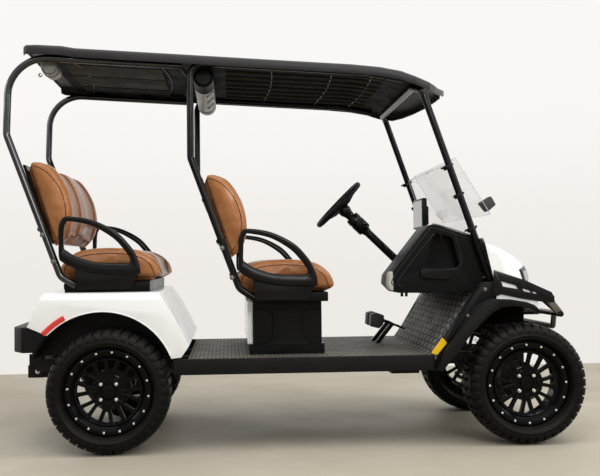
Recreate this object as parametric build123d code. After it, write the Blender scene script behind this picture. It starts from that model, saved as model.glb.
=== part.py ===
from build123d import *
import os
from math import atan2, cos, degrees, hypot, radians, sin

# Four-seat lifted electric golf cart, both seats facing forward.
# Millimetres; +X forward, +Y to the driver's left, +Z up, wheels on z = 0.
# Side outlines are (x, z) points: x is counted from the axle that the piece belongs to, z from the ground.

os.makedirs("parts", exist_ok=True)

# ---- driving dimensions ----
WHEELBASE = 2000
TRACK = 1018
TYRE_RADIUS = 292
TYRE_WIDTH = 228
RIM_RADIUS = 202
RIM_LIP = 78            # lip plane, outward from the wheel's middle plane
FLOOR_TOP = 439
FLOOR_THICKNESS = 24
ROCKER_HEIGHT = 76
BODY_HALF_WIDTH = 575
ROCKER_HALF_WIDTH = 570
COWL_HALF_WIDTH = 558.2
SKIN = 5                # moulded body panels
RAIL_Y = 190            # middle of each chassis rail
RAIL_WIDTH = 60
RAIL_HEIGHT = 60
STRUT_RADIUS = 17
STRUT_Y = 520           # middle of every roof strut
SEAT_PITCH = 840        # front seat ahead of the rear seat
SEAT_RISE = 64          # rear seat above the front seat
SEAT_HALF_WIDTH = 498
ROOF_HALF_WIDTH = 560
ROOF_SKIN = 6
ROOF_EDGE = 46          # depth of the roof's turned-down edge
ROOF_DROP = 0.052       # fall of the roof per unit of length, towards the front
ARMREST_Y = 550
ARMREST_THICKNESS = 38
COLUMN_Y = 292
COLUMN_RADIUS = 22
COLUMN_ANGLE = 44       # steering column above the horizontal
STEERING_WHEEL_RADIUS = 172
KINGPIN_Y = 385
KINGPIN_RADIUS = 12
SPINDLE_RADIUS = 17
PIN_CLEARANCE = 0.05
SEAT_CLEARANCE = 0.3    # between separate pieces that lie against each other
TRAY_HALF_WIDTH = STRUT_Y - STRUT_RADIUS - SEAT_CLEARANCE
TOE_HALF_WIDTH = 496
HITCH_SOCKET = 51
HITCH_WALL = 6
HITCH_PIN_RADIUS = 8

REAR_OVERHANG = 490.6    # rear axle to the rearmost bend of the rear struts
REAR_AXLE_X = -(WHEELBASE + TYRE_RADIUS - REAR_OVERHANG) / 2
FRONT_AXLE_X = REAR_AXLE_X + WHEELBASE
AXLE_Z = TYRE_RADIUS
WHEEL_Y = TRACK / 2
RAIL_TOP = FLOOR_TOP - FLOOR_THICKNESS
RAIL_BOTTOM = RAIL_TOP - RAIL_HEIGHT
ROCKER_BOTTOM = FLOOR_TOP - ROCKER_HEIGHT
SEAT_X = REAR_AXLE_X - 230      # rear seat: rear lower corner of the cushion
TRAY_TOP = 808                  # rear seat tray
ROOF_TOP = 1924                 # at the roof's rear edge


def rear(points):
    """Points given from the rear axle, moved to the vehicle's own frame."""
    return [(x + REAR_AXLE_X, z) for x, z in points]


def front(points):
    """Points given from the front axle, moved to the vehicle's own frame."""
    return [(x + FRONT_AXLE_X, z) for x, z in points]


def shift(points, dx, dz):
    return [(x + dx, z + dz) for x, z in points]


def side_solid(points, y_low, y_high, radius=0):
    """Solid with this outline in side view, between two planes across the vehicle."""
    if radius:
        outline = make_face(FilletPolyline(*points, radius=radius, close=True))
    else:
        outline = make_face(Polyline(*points, close=True))
    return extrude(Plane.XZ.offset(-y_low) * outline, y_low - y_high)


def both_sides(solid):
    """The piece and its mirror image across the vehicle's middle plane."""
    return [solid, mirror(solid, Plane.XZ)]


def block(x, y, z):
    """Box from (low, high) pairs."""
    size = [high - low for low, high in (x, y, z)]
    middle = [(high + low) / 2 for low, high in (x, y, z)]
    return Pos(*middle) * Box(*size)


def tube(points, tube_radius, bend):
    """Round bar along points joined by arcs."""
    path = FilletPolyline(*points, radius=bend) if len(points) > 2 else Line(*points)
    return sweep(Plane(origin=path @ 0, z_dir=path % 0) * Circle(tube_radius), path=path)


def rod(start, end, rod_radius):
    return tube([start, end], rod_radius, 0)


def write(name, *solids):
    node = solids[0] if len(solids) == 1 else Compound(children=list(solids))
    node.label = name
    export_step(node, f"parts/{name}.step")


# ---- chassis ----
BUMPER_TOP = 598
BUMPER_BOTTOM = 479
GUARD_TUBE_Z = 615
FRAME_REAR = REAR_AXLE_X - 400
FRAME_FRONT = FRONT_AXLE_X + 100
HITCH_PIN_X = FRAME_REAR - 40
ROCKER_WALL = 12
ROCKER_FLANGE = 60      # turned in under the floor
OUTRIGGER_REACH = ROCKER_HALF_WIDTH - ROCKER_WALL - ROCKER_FLANGE - 1
SKID_DEPTH = 36


def chassis_frame():
    """Two rails, cross members with outriggers under the floor, and posts for the bumper and the guard."""
    half = RAIL_WIDTH / 2
    rail = block((FRAME_REAR, FRAME_FRONT), (RAIL_Y - half, RAIL_Y + half), (RAIL_BOTTOM, RAIL_TOP))
    frame = rail + mirror(rail, Plane.XZ)
    cross_members = (   # x, length, reach to each side
        (FRAME_REAR, 60, RAIL_Y + half),
        (REAR_AXLE_X + 420, 50, OUTRIGGER_REACH),
        (REAR_AXLE_X + 1000, 50, OUTRIGGER_REACH),
        (FRONT_AXLE_X - 520, 50, OUTRIGGER_REACH),
        (FRAME_FRONT - 50, 50, RAIL_Y + half),
    )
    for x, length, reach in cross_members:
        frame += block((x, x + length), (-reach, reach), (RAIL_BOTTOM + 10, RAIL_TOP))
    frame += block((FRONT_AXLE_X - 614, FRONT_AXLE_X - 471), (-300, 300),
                   (RAIL_BOTTOM - SKID_DEPTH, RAIL_BOTTOM))
    for side in (-1, 1):
        y_pair = sorted((side * (RAIL_Y - half), side * (RAIL_Y + half)))
        frame += block((FRAME_REAR, FRAME_REAR + 30), y_pair, (RAIL_TOP, BUMPER_TOP - 30))
        frame += block((FRAME_FRONT - 40, FRAME_FRONT), y_pair, (RAIL_TOP, GUARD_TUBE_Z + 20))
    return frame


# ---- wheels ----
LIP_THICKNESS = 12
BARREL_RADIUS = 176
BARREL_WALL = 8
SPOKE_PAIRS = 8


def rim():
    """Rim about +Z, its outer face upwards, middle plane at z = 0."""
    lip_back = RIM_LIP - LIP_THICKNESS
    inner_lip = -RIM_LIP - 20
    inner = BARREL_RADIUS - BARREL_WALL
    barrel = [(inner, inner_lip), (RIM_RADIUS - 2, inner_lip), (RIM_RADIUS - 2, inner_lip + BARREL_WALL),
              (BARREL_RADIUS, inner_lip + BARREL_WALL), (BARREL_RADIUS, lip_back), (RIM_RADIUS, lip_back),
              (RIM_RADIUS, RIM_LIP), (inner + 4, RIM_LIP), (inner, RIM_LIP - 4)]
    body = revolve(Plane.XZ * make_face(Polyline(*barrel, close=True)), Axis.Z)
    body += Pos(0, 0, 34) * Cylinder(62, 48)
    body += Pos(0, 0, 64) * Cylinder(34, 20)
    for pair in range(SPOKE_PAIRS):
        for spread in (-8, 8):
            body += Rot(Z=pair * 360 / SPOKE_PAIRS + spread) * Pos(112, 0, 44) * Box(126, 13, 26)
    return body - Pos(0, 0, 29) * Cylinder(SPINDLE_RADIUS, 40)


def tyre():
    """Tyre about +Z on the rim's two bead seats."""
    half = TYRE_WIDTH / 2
    seat_high = RIM_LIP - LIP_THICKNESS - SEAT_CLEARANCE
    seat_low = -RIM_LIP - LIP_THICKNESS + SEAT_CLEARANCE
    bead = BARREL_RADIUS + SEAT_CLEARANCE
    tread = TYRE_RADIUS
    outside = [(226, half - 6), (250, half), (tread - 26, half - 5), (tread - 11, half - 22),
               (tread - 3, half - 60), (tread, 25)]
    inside = [(228, half - 18), (tread - 32, half - 18), (tread - 18, half - 46)]
    section = [(bead, seat_high), (RIM_RADIUS + 1, seat_high), (RIM_RADIUS + 3, 84), *outside,
               *[(radius, -height) for radius, height in reversed(outside)],
               (RIM_RADIUS + 1, seat_low - 2), (RIM_RADIUS + 1, seat_low), (bead, seat_low),
               (bead, seat_low + 20), (200, seat_low + 18),
               *[(radius, -height) for radius, height in inside], *reversed(inside),
               (200, seat_high - 14), (bead, seat_high - 18)]
    return revolve(Plane.XZ * make_face(Polyline(*section, close=True)), Axis.Z)


def at_wheel(solid, axle_x, side):
    """Stand a wheel piece at its place; side is -1 on the right and 1 on the left."""
    return Pos(axle_x, side * WHEEL_Y, AXLE_Z) * Rot(X=-90 * side) * solid


# ---- axles, springs and steering ----
BEAM_HALF = 25          # half height and half depth of the front beam
EAR_GAP = 50            # half height of the kingpin boss and its gaps
EAR = 12                # thickness of the knuckle's ears, web and steering arm
ARM_X = -110            # tie rod joints behind the front axle
ARM_Y = KINGPIN_Y - 25
TIE_ROD_RADIUS = 11
AXLE_TUBE_RADIUS = 33
SPINDLE_END = WHEEL_Y + 47


def front_axle():
    """Square beam with a bored boss for the kingpin at each end."""
    beam = block((FRONT_AXLE_X - BEAM_HALF, FRONT_AXLE_X + BEAM_HALF), (10 - KINGPIN_Y, KINGPIN_Y - 10),
                 (AXLE_Z - BEAM_HALF, AXLE_Z + BEAM_HALF))
    ends = [Pos(FRONT_AXLE_X, side * KINGPIN_Y, AXLE_Z) for side in (-1, 1)]
    for end in ends:
        beam += end * Cylinder(24, 2 * EAR_GAP - 2)
    for end in ends:
        beam -= end * Cylinder(KINGPIN_RADIUS + PIN_CLEARANCE, 2 * EAR_GAP)
    return beam


def knuckle(side):
    """Steering knuckle with its kingpin, spindle, brake plate and steering arm."""
    web_y = KINGPIN_Y + 40
    level = EAR_GAP + EAR
    x = (FRONT_AXLE_X - 22, FRONT_AXLE_X + 22)
    body = Pos(FRONT_AXLE_X, side * KINGPIN_Y, AXLE_Z) * Cylinder(KINGPIN_RADIUS, 2 * level)
    for low in (-level, EAR_GAP):
        body += block(x, sorted((side * (KINGPIN_Y - 20), side * web_y)), (AXLE_Z + low, AXLE_Z + low + EAR))
    body += block(x, sorted((side * (web_y - EAR), side * web_y)), (AXLE_Z - level, AXLE_Z + level))
    body += Pos(FRONT_AXLE_X, side * (web_y + 6), AXLE_Z) * Rot(X=90) * Cylinder(95, 12)
    length = SPINDLE_END - web_y
    body += Pos(FRONT_AXLE_X, side * (SPINDLE_END - length / 2), AXLE_Z) * Rot(X=90) * Cylinder(
        SPINDLE_RADIUS - PIN_CLEARANCE, length)
    arm_y = sorted((side * (ARM_Y - 14), side * (ARM_Y + 14)))
    return body + block((FRONT_AXLE_X + ARM_X - 14, FRONT_AXLE_X + 10), arm_y,
                        (AXLE_Z - level, AXLE_Z - EAR_GAP))


def tie_rod():
    """Bar just under the two steering arms, which it joins."""
    top = AXLE_Z - EAR_GAP - EAR - SEAT_CLEARANCE
    x = FRONT_AXLE_X + ARM_X
    middle = top - TIE_ROD_RADIUS
    bar = Pos(x, 0, middle) * Rot(X=90) * Cylinder(TIE_ROD_RADIUS, 2 * ARM_Y)
    for side in (-1, 1):
        bar += Pos(x, side * ARM_Y, middle) * Cylinder(14, 2 * TIE_ROD_RADIUS)
    return bar


def rear_axle():
    """Axle tubes, drive housing and drive motor as one plain mass, brake plates and shaft ends."""
    x = REAR_AXLE_X
    axle = Pos(x, 0, AXLE_Z) * Rot(X=90) * Cylinder(AXLE_TUBE_RADIUS, 2 * (WHEEL_Y - 90))
    axle += Pos(x, 70, AXLE_Z) * Rot(X=90) * Cylinder(92, 130)
    axle += Pos(x, -70, AXLE_Z) * Rot(X=90) * Cylinder(82, 150)
    for side in (-1, 1):
        axle += Pos(x, side * (WHEEL_Y - 78), AXLE_Z) * Rot(X=90) * Cylinder(95, 24)
        shaft = SPINDLE_END - WHEEL_Y + 66
        axle += Pos(x, side * (SPINDLE_END - shaft / 2), AXLE_Z) * Rot(X=90) * Cylinder(
            SPINDLE_RADIUS - PIN_CLEARANCE, shaft)
    return axle


def leaf_springs():
    """Bowed spring packs between each axle and the rail above it."""
    springs = []
    leaf = 18
    packs = ((REAR_AXLE_X, AXLE_TUBE_RADIUS, 290), (FRONT_AXLE_X, BEAM_HALF, 90))
    for axle_x, seat, reach in packs:
        low = AXLE_Z + seat + SEAT_CLEARANCE
        high = RAIL_BOTTOM - SEAT_CLEARANCE
        lower = ThreePointArc((axle_x - reach, high - leaf), (axle_x, low), (axle_x + reach, high - leaf))
        upper = ThreePointArc((axle_x + reach, high), (axle_x, low + leaf), (axle_x - reach, high))
        ends = [Line(lower @ 1, upper @ 0), Line(upper @ 1, lower @ 0)]
        outline = make_face([lower, ends[0], upper, ends[1]])
        for side in (-1, 1):
            middle = side * RAIL_Y
            springs.append(extrude(Plane.XZ.offset(25 - middle) * outline, -50))
    return springs


# ---- floor ----
TOE_TOP = 728
TOE = front([(-460, FLOOR_TOP), (-251, TOE_TOP)])


def floor_pan():
    """Flat floor with the sloping toe board at its front."""
    half = ROCKER_HALF_WIDTH - ROCKER_WALL
    start = REAR_AXLE_X + 372
    toe_low, toe_high = TOE
    slope = atan2(toe_high[1] - toe_low[1], toe_high[0] - toe_low[0])
    drop = FLOOR_THICKNESS / 2
    run = drop / sin(slope)
    flat = block((start, toe_low[0] + 20), (-half, half), (RAIL_TOP + SEAT_CLEARANCE, FLOOR_TOP))
    board = side_solid([toe_low, toe_high, (toe_high[0] + run, toe_high[1]), (toe_low[0] + run, toe_low[1])],
                       -TOE_HALF_WIDTH, TOE_HALF_WIDTH)
    return flat + board


def rocker_panels():
    """Boxed sills along both edges of the floor."""
    low = ROCKER_HALF_WIDTH - ROCKER_WALL + SEAT_CLEARANCE
    start = REAR_AXLE_X + 300
    end = FRONT_AXLE_X - 450
    sill = block((start, end), (-ROCKER_HALF_WIDTH, -low), (ROCKER_BOTTOM, FLOOR_TOP))
    sill += block((start, end), (-low, ROCKER_FLANGE - low), (ROCKER_BOTTOM, ROCKER_BOTTOM + ROCKER_WALL))
    return both_sides(sill)


# ---- rear body ----
ARCH_X = REAR_AXLE_X - 30
ARCH_Z = 322
ARCH_RADIUS = 340
LINER = 4
LINER_INNER_Y = 372
DECK_Z = 757
DECK_ROUND = 40
BODY_SIDE = rear([(-300, DECK_Z), (232, DECK_Z), (300, 655), (377, 501), (340, 447), (180, 430), (-282, 560),
                  (-372, BUMPER_TOP + 2)])


def arch(radius, y_low, y_high):
    """Disc-shaped space around each rear wheel, at both sides."""
    width = y_high - y_low
    return [Pos(ARCH_X, side * (y_low + y_high) / 2, ARCH_Z) * Rot(X=90) * Cylinder(radius, width)
            for side in (-1, 1)]


def round_deck(solid, level, radius):
    """Rounds the edges along both sides of the deck at this level."""
    along = [edge for edge in solid.edges().filter_by(Axis.X) if abs(edge.center().Z - level) < 1]
    return fillet(along, radius)


def rear_body():
    """Hollow moulded body over the rear wheels, open below and under the rear seat."""
    half = BODY_HALF_WIDTH
    outer = side_solid(BODY_SIDE, -half, half)
    inside = rear([(-292, DECK_Z - SKIN), (228, DECK_Z - SKIN), (294, 655), (371, 501), (335, 440),
                   (180, 400), (-300, 400), (-366, BUMPER_TOP + 2)])
    hollow = side_solid(inside, SKIN - half, half - SKIN)
    body = round_deck(outer, DECK_Z, DECK_ROUND) - round_deck(hollow, DECK_Z - SKIN, DECK_ROUND - SKIN)
    for disc in arch(ARCH_RADIUS + LINER + SEAT_CLEARANCE, LINER_INNER_Y, half + 20):
        body -= disc
    well = TRAY_HALF_WIDTH - 60
    return body - block((SEAT_X + 60, SEAT_X + 380), (-well, well), (DECK_Z - 40, DECK_Z + 20))


def rear_wheel_liners():
    """Arched inner fenders with an inner wall, one over each rear wheel."""
    half = BODY_HALF_WIDTH - SKIN - SEAT_CLEARANCE
    shells = arch(ARCH_RADIUS + LINER, LINER_INNER_Y, half)
    hollows = arch(ARCH_RADIUS, LINER_INNER_Y + LINER, half + 20)
    keep = block((ARCH_X - 400, ARCH_X + 400), (-600, 600), (FLOOR_TOP + 10, 800))
    return [(shell - hollow) & keep for shell, hollow in zip(shells, hollows)]


def rear_bumper():
    """Wrap-around bumper across the tail."""
    back = FRAME_REAR - REAR_AXLE_X - SEAT_CLEARANCE
    right = [(back, -400), (-360, -490), (-289, -500), (-289, -560), (-400, -560), (-450, -480)]
    plan = rear([*right, (-468, 0), *[(x, -y) for x, y in reversed(right)]])
    bar = extrude(Plane.XY.offset(BUMPER_BOTTOM) * make_face(Polyline(*plan, close=True)),
                  BUMPER_TOP - BUMPER_BOTTOM)
    for disc in arch(ARCH_RADIUS + LINER + SEAT_CLEARANCE, LINER_INNER_Y, 620):
        bar -= disc
    tail_edge = rear([(-376, BUMPER_TOP + 1.5), (-270, BUMPER_TOP - 45), (-270, DECK_Z), (-376, DECK_Z)])
    return bar - side_solid(tail_edge, -700, 700)


def rear_lights():
    """Tail lamps on the body's rear face and side reflectors along the arch edge."""
    lean = atan2(DECK_Z - BUMPER_TOP, 72)
    lamps = []
    for side in (-1, 1):
        lamps.append(Pos(REAR_AXLE_X - 343, side * 470, 682) * Rot(Y=90 - degrees(lean)) * Box(14, 150, 96))
        angles = [radians(a) for a in (118, 128, 138)]
        ring = ARCH_RADIUS + LINER + 8
        low = [(ARCH_X + ring * cos(a), ARCH_Z + ring * sin(a)) for a in angles]
        high = [(ARCH_X + (ring + 22) * cos(a), ARCH_Z + (ring + 22) * sin(a)) for a in reversed(angles)]
        y = sorted((side * (BODY_HALF_WIDTH + SEAT_CLEARANCE), side * (BODY_HALF_WIDTH + 5)))
        lamps.append(side_solid(low + high, *y))
    return lamps


def hitch_receiver():
    """Square receiver tube under the tail with its pin bore and two side plates."""
    outer = HITCH_SOCKET + 2 * HITCH_WALL
    top = RAIL_BOTTOM + 10
    x = (FRAME_REAR - 80, FRAME_REAR + 140)
    receiver = block(x, (-outer / 2, outer / 2), (top - outer, top))
    for side in (-1, 1):
        y = sorted((side * outer / 2, side * (outer / 2 + 8)))
        receiver += block((FRAME_REAR - 72, FRAME_REAR - SEAT_CLEARANCE), y, (top - outer, top + 60))
    socket = block((x[0] - 10, x[1] + 10), (-HITCH_SOCKET / 2, HITCH_SOCKET / 2),
                   (top - outer + HITCH_WALL, top - HITCH_WALL))
    pin = Pos(HITCH_PIN_X, 0, top - outer / 2) * Rot(X=90) * Cylinder(HITCH_PIN_RADIUS, 2 * outer)
    return receiver - socket - pin


# ---- seats ----
CUSHION = [(0, SEAT_CLEARANCE), (0, 70), (22, 118), (90, 140), (220, 148), (330, 138), (420, 106), (462, 40),
           (452, SEAT_CLEARANCE)]
BACK = [(-42, 182), (-168, 560), (-140, 578), (-50, 536), (14, 440), (36, 350), (28, 290), (-12, 196)]
BACK_HALF_WIDTH = 470
ARMREST_OUTER = [(4, 95), (8, 246), (50, 306), (150, 292), (270, 238), (362, 130), (378, 46), (200, 40),
                 (90, 56)]
ARMREST_INNER = [(34, 124), (40, 258), (56, 272), (150, 258), (246, 204), (318, 124), (324, 88), (190, 82),
                 (84, 108)]
TRAY_RAIL = 44
TRAY_WALL = 8
SHELL = 14
BOX_HALF_WIDTH = 400
BOX_FOOT = 50           # height of the wider foot of the front seat box


def seat_places():
    """Rear lower corner of each seat's cushion, rear seat first."""
    return [(SEAT_X, TRAY_TOP), (SEAT_X + SEAT_PITCH, TRAY_TOP - SEAT_RISE)]


def cushion(place):
    return side_solid(shift(CUSHION, *place), 8 - SEAT_HALF_WIDTH, SEAT_HALF_WIDTH - 8)


def seat_back(place):
    return side_solid(shift(BACK, *place), -BACK_HALF_WIDTH, BACK_HALF_WIDTH)


def seat_back_shell(place):
    """Moulded shell behind the padded back."""
    gap = SEAT_CLEARANCE
    low, high = BACK[0], BACK[1]
    shell = [(low[0] - gap, low[1]), (high[0] - gap, high[1]), (high[0] - gap - SHELL, high[1]),
             (low[0] - gap - SHELL, low[1])]
    return side_solid(shift(shell, *place), 5 - BACK_HALF_WIDTH, BACK_HALF_WIDTH - 5)


def armrests(place):
    """Closed loops beside the seat, each on a bracket from the seat tray."""
    x, z = place
    half = ARMREST_THICKNESS / 2
    loop = side_solid(shift(ARMREST_OUTER, x, z), -ARMREST_Y - half, half - ARMREST_Y, 18)
    loop -= side_solid(shift(ARMREST_INNER, x, z), -ARMREST_Y - half - 5, half + 5 - ARMREST_Y, 12)
    bracket = block((x + 100, x + 300), (half - ARMREST_Y, -TRAY_HALF_WIDTH - SEAT_CLEARANCE),
                    (z - 34, z + 60))
    return both_sides(loop + bracket)


def front_seat_box():
    """Pedestal on the floor with the seat tray on top, hollow and open upwards."""
    x, top = seat_places()[1]
    half = BOX_HALF_WIDTH
    wall = TRAY_WALL
    body = block((x + 72, x + 412), (-half, half), (FLOOR_TOP, top - TRAY_RAIL))
    body += block((x + 54, x + 424), (-half - 14, half + 14), (FLOOR_TOP, FLOOR_TOP + BOX_FOOT))
    body -= block((x + 72 + wall, x + 412 - wall), (wall - half, half - wall), (FLOOR_TOP + wall, top))
    tray = block((x + 66, x + 434), (-TRAY_HALF_WIDTH, TRAY_HALF_WIDTH), (top - TRAY_RAIL, top))
    tray -= block((x + 72 + wall, x + 412 - wall), (wall - half, half - wall),
                  (top - TRAY_RAIL - 10, top + 10))
    tray -= block((x + 66 + wall, x + 434 - wall), (wall - TRAY_HALF_WIDTH, TRAY_HALF_WIDTH - wall),
                  (top - TRAY_RAIL + 6, top + 10))
    return body + tray


def seat_box_back():
    """Panel on the back of the front seat box, above its foot."""
    x, top = seat_places()[1]
    return block((x + 46, x + 72 - SEAT_CLEARANCE), (20 - BOX_HALF_WIDTH, BOX_HALF_WIDTH - 20),
                 (FLOOR_TOP + BOX_FOOT + SEAT_CLEARANCE, top - TRAY_RAIL - 4))


def battery_pack():
    """Traction battery inside the front seat box, one plain mass."""
    x = seat_places()[1][0]
    return block((x + 110, x + 374), (50 - BOX_HALF_WIDTH, BOX_HALF_WIDTH - 50),
                 (FLOOR_TOP + TRAY_WALL + SEAT_CLEARANCE, FLOOR_TOP + 220))


def rear_seat_base():
    """Tray that carries the rear cushion on the body's deck."""
    x, top = seat_places()[0]
    tray = block((x + 20, x + 420), (-TRAY_HALF_WIDTH, TRAY_HALF_WIDTH), (DECK_Z + SEAT_CLEARANCE, top))
    return tray - block((x + 20 + TRAY_WALL, x + 420 - TRAY_WALL),
                        (TRAY_WALL - TRAY_HALF_WIDTH, TRAY_HALF_WIDTH - TRAY_WALL), (DECK_Z - 10, top + 10))


# ---- roof ----
ROOF_REAR = REAR_AXLE_X - 370
ROOF_FRONT = FRONT_AXLE_X - 268
LINER_DEPTH = ROOF_SKIN + SEAT_CLEARANCE + 14
LINER_HALF_WIDTH = 496
STRUT_FOOT = (-142.7, 746)      # from the front axle, from the ground
STRUT_TOP_X = -486
REAR_KINK_Z = 1505              # where the rear struts' leaning and upright parts meet
REAR_BOW_RADIUS = 185           # bend under the roof's rear corner, tighter where the roof is low
REAR_TUBE_DEPTH = 50            # middle of the roof tubes under the roof's side
FRONT_TUBE_DEPTH = 30
ROOF_SECTIONS = (   # x, narrowing at each side, droop below the even fall, rise to the middle, edge depth
    (ROOF_REAR, 90, 0, 0, 38),
    (ROOF_REAR + 20, 30, 0, 4, 44),
    (ROOF_REAR + 60, 0, 0, 8, ROOF_EDGE),
    (FRONT_AXLE_X - 760, 0, 0, 12, ROOF_EDGE),
    (FRONT_AXLE_X - 590, 0, 20, 27, ROOF_EDGE),
    (FRONT_AXLE_X - 523, 3, 40, 44, ROOF_EDGE),
    (FRONT_AXLE_X - 447, 45, 57, 57, 42),
    (FRONT_AXLE_X - 400, 140, 55, 53, 40),
    (FRONT_AXLE_X - 360, 240, 48, 44, 38),
    (FRONT_AXLE_X - 310, 360, 32, 26, 34),
    (ROOF_FRONT, 470, 13, 6, 30),
)


def roof_line(x):
    """Height of the roof's side at x, straight between its sections."""
    droop = ROOF_SECTIONS[-1][2]
    for low, high in zip(ROOF_SECTIONS, ROOF_SECTIONS[1:]):
        if x <= high[0]:
            droop = low[2] + (high[2] - low[2]) * (x - low[0]) / (high[0] - low[0])
            break
    return ROOF_TOP - ROOF_DROP * (x - ROOF_REAR) - droop


def roof_shape(inset, deeper=0):
    """Crowned roof as a solid down to its lower edge, drawn in by the inset."""
    faces = []
    last = len(ROOF_SECTIONS) - 1
    for place, (x, narrowing, droop, rise, depth) in enumerate(ROOF_SECTIONS):
        half = ROOF_HALF_WIDTH - narrowing - inset
        top = roof_line(x) - inset
        bottom = roof_line(x) - depth - deeper
        points = [(-half, bottom), (-half, top), (-0.6 * half, top + 0.64 * rise), (0, top + rise),
                  (0.6 * half, top + 0.64 * rise), (half, top), (half, bottom)]
        inward = inset if place == 0 else -inset if place == last else 0
        faces.append(Plane.YZ.offset(x + inward) * make_face(Polyline(*points, close=True)))
    return loft(faces, ruled=True)


def roof():
    """Moulded canopy: a skin with a turned-down edge."""
    return roof_shape(0) - roof_shape(ROOF_SKIN, 10)


def roof_liner():
    """Inner panel under the roof skin."""
    stations = (ROOF_REAR + 60, FRONT_AXLE_X - 760, FRONT_AXLE_X - 590, FRONT_AXLE_X - 523,
                FRONT_AXLE_X - 480)
    gap = ROOF_SKIN + SEAT_CLEARANCE
    top = [(x, roof_line(x) - gap) for x in stations]
    bottom = [(x, roof_line(x) - LINER_DEPTH) for x in reversed(stations)]
    return side_solid(top + bottom, -LINER_HALF_WIDTH, LINER_HALF_WIDTH)


def roof_pads(stations, depth):
    """Pads between the roof tubes on both sides and the roof skin."""
    under_skin = Pos(0, 0, -SEAT_CLEARANCE) * roof_shape(ROOF_SKIN, 200)
    pads = []
    for x in stations:
        low = roof_line(x) - depth
        for side in (-1, 1):
            y = sorted((side * (STRUT_Y - 12), side * (STRUT_Y + 12)))
            pads.append(block((x - 22, x + 22), y, (low, low + 2 * depth)) & under_skin)
    return pads


def under_roof(x, radius):
    """Height of the middle of a cross tube that lies just under the roof liner at x."""
    slope = (roof_line(x + radius) - roof_line(x - radius)) / (2 * radius)
    return roof_line(x) - LINER_DEPTH - (SEAT_CLEARANCE + radius) * hypot(1, slope)


# ---- struts ----
def front_struts():
    """Two leaning struts joined by a cross tube under the roof."""
    top_x = FRONT_AXLE_X + STRUT_TOP_X
    foot = (FRONT_AXLE_X + STRUT_FOOT[0], STRUT_FOOT[1])
    cross_x = top_x - 30
    cross_z = under_roof(cross_x, STRUT_RADIUS)
    top_z = cross_z - 20
    points = [(foot[0], -STRUT_Y, foot[1]), (top_x, -STRUT_Y, top_z), (cross_x, -STRUT_Y + 70, cross_z),
              (cross_x, STRUT_Y - 70, cross_z), (top_x, STRUT_Y, top_z), (foot[0], STRUT_Y, foot[1])]
    return tube(points, STRUT_RADIUS, 45)


def middle_struts():
    """Struts from the front seat tray that bend forward under the roof, joined by the seat back's tubes."""
    x, tray = seat_places()[1]
    top_x = REAR_AXLE_X + 388
    bend_x = FRONT_AXLE_X - 760
    end_x = FRONT_AXLE_X - 575
    struts = seat_bars(seat_places()[1])
    for side in (-1, 1):
        y = side * STRUT_Y
        points = [(along, y, roof_line(along) - FRONT_TUBE_DEPTH) for along in (end_x, bend_x, top_x)]
        points += [(top_x, y, 1395), (x + 5, y, tray + 24), (x + 76, y, tray - 24)]
        struts += tube(points, STRUT_RADIUS, [55, 70, 55, 55])
    for pad in roof_pads((top_x + 160, top_x + 500, top_x + 820), FRONT_TUBE_DEPTH):
        struts += pad
    return struts


def rear_struts():
    """Bowed struts from the rear seat tray that run forward along the roof's edge to the middle struts."""
    x, tray = seat_places()[0]
    bow_x = REAR_AXLE_X - 462
    end_x = REAR_AXLE_X + 350
    kink_z = REAR_KINK_Z
    bow_z = roof_line(bow_x) - REAR_TUBE_DEPTH
    bow = min(REAR_BOW_RADIUS, 0.55 * (bow_z - kink_z))
    struts = seat_bars(seat_places()[0])
    for side in (-1, 1):
        y = side * STRUT_Y
        points = [(end_x, y, roof_line(end_x) - REAR_TUBE_DEPTH), (bow_x, y, bow_z),
                  (REAR_AXLE_X - 474, y, kink_z), (x + 5, y, tray + 24), (x + 76, y, tray - 20)]
        struts += tube(points, STRUT_RADIUS, [bow, 60, 60])
    for pad in roof_pads((end_x - 520, end_x - 260, end_x - 30), REAR_TUBE_DEPTH):
        struts += pad
    return struts


def seat_bars(place):
    """Cross tubes behind the seat back, between the struts."""
    x, z = place
    low, high = BACK[0], BACK[1]
    slope = (high[0] - low[0]) / (high[1] - low[1])
    bar_radius = 12
    bars = None
    for level in (250, 450):
        behind = SHELL + SEAT_CLEARANCE + (bar_radius + SEAT_CLEARANCE) * hypot(1, slope)
        back_x = low[0] + slope * (level - low[1]) - behind
        bar = Pos(x + back_x, 0, z + level) * Rot(X=90) * Cylinder(bar_radius, 2 * STRUT_Y)
        bars = bar if bars is None else bars + bar
    return bars


# ---- front body ----
HOOD_SIDE = (       # x, height, share of each section's step back
    (-199, 1000, 0),
    (-70, 985, 0.3),
    (34, 941, 0.65),
    (95, 902, 0.9),
    (126, 868, 1),
    (136, 800, 1),
    (132, 742, 1),
    (-138, 742, 0),
    (-138, 786, 0),
)
HOOD_SECTIONS = (   # y, step back, drop
    (0, 0, 0),
    (180, 14, 4),
    (320, 60, 14),
    (440, 115, 30),
    (520, 170, 44),
)
HOOD_SIDE_STEP = (225, 55)
HOOD_DROP_ABOVE = 800
FENDER_SIDE = [(-138, 815), (0, 772), (100, 733), (105, 715), (73, 641), (60, 638), (30, 670), (-12, 686),
               (-80, 698), (-140, 700)]
HEADLIGHT = [(-30, 862), (34, 858), (50, 775), (-15, 779)]
HEADLIGHT_Y = (392, 492)


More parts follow.
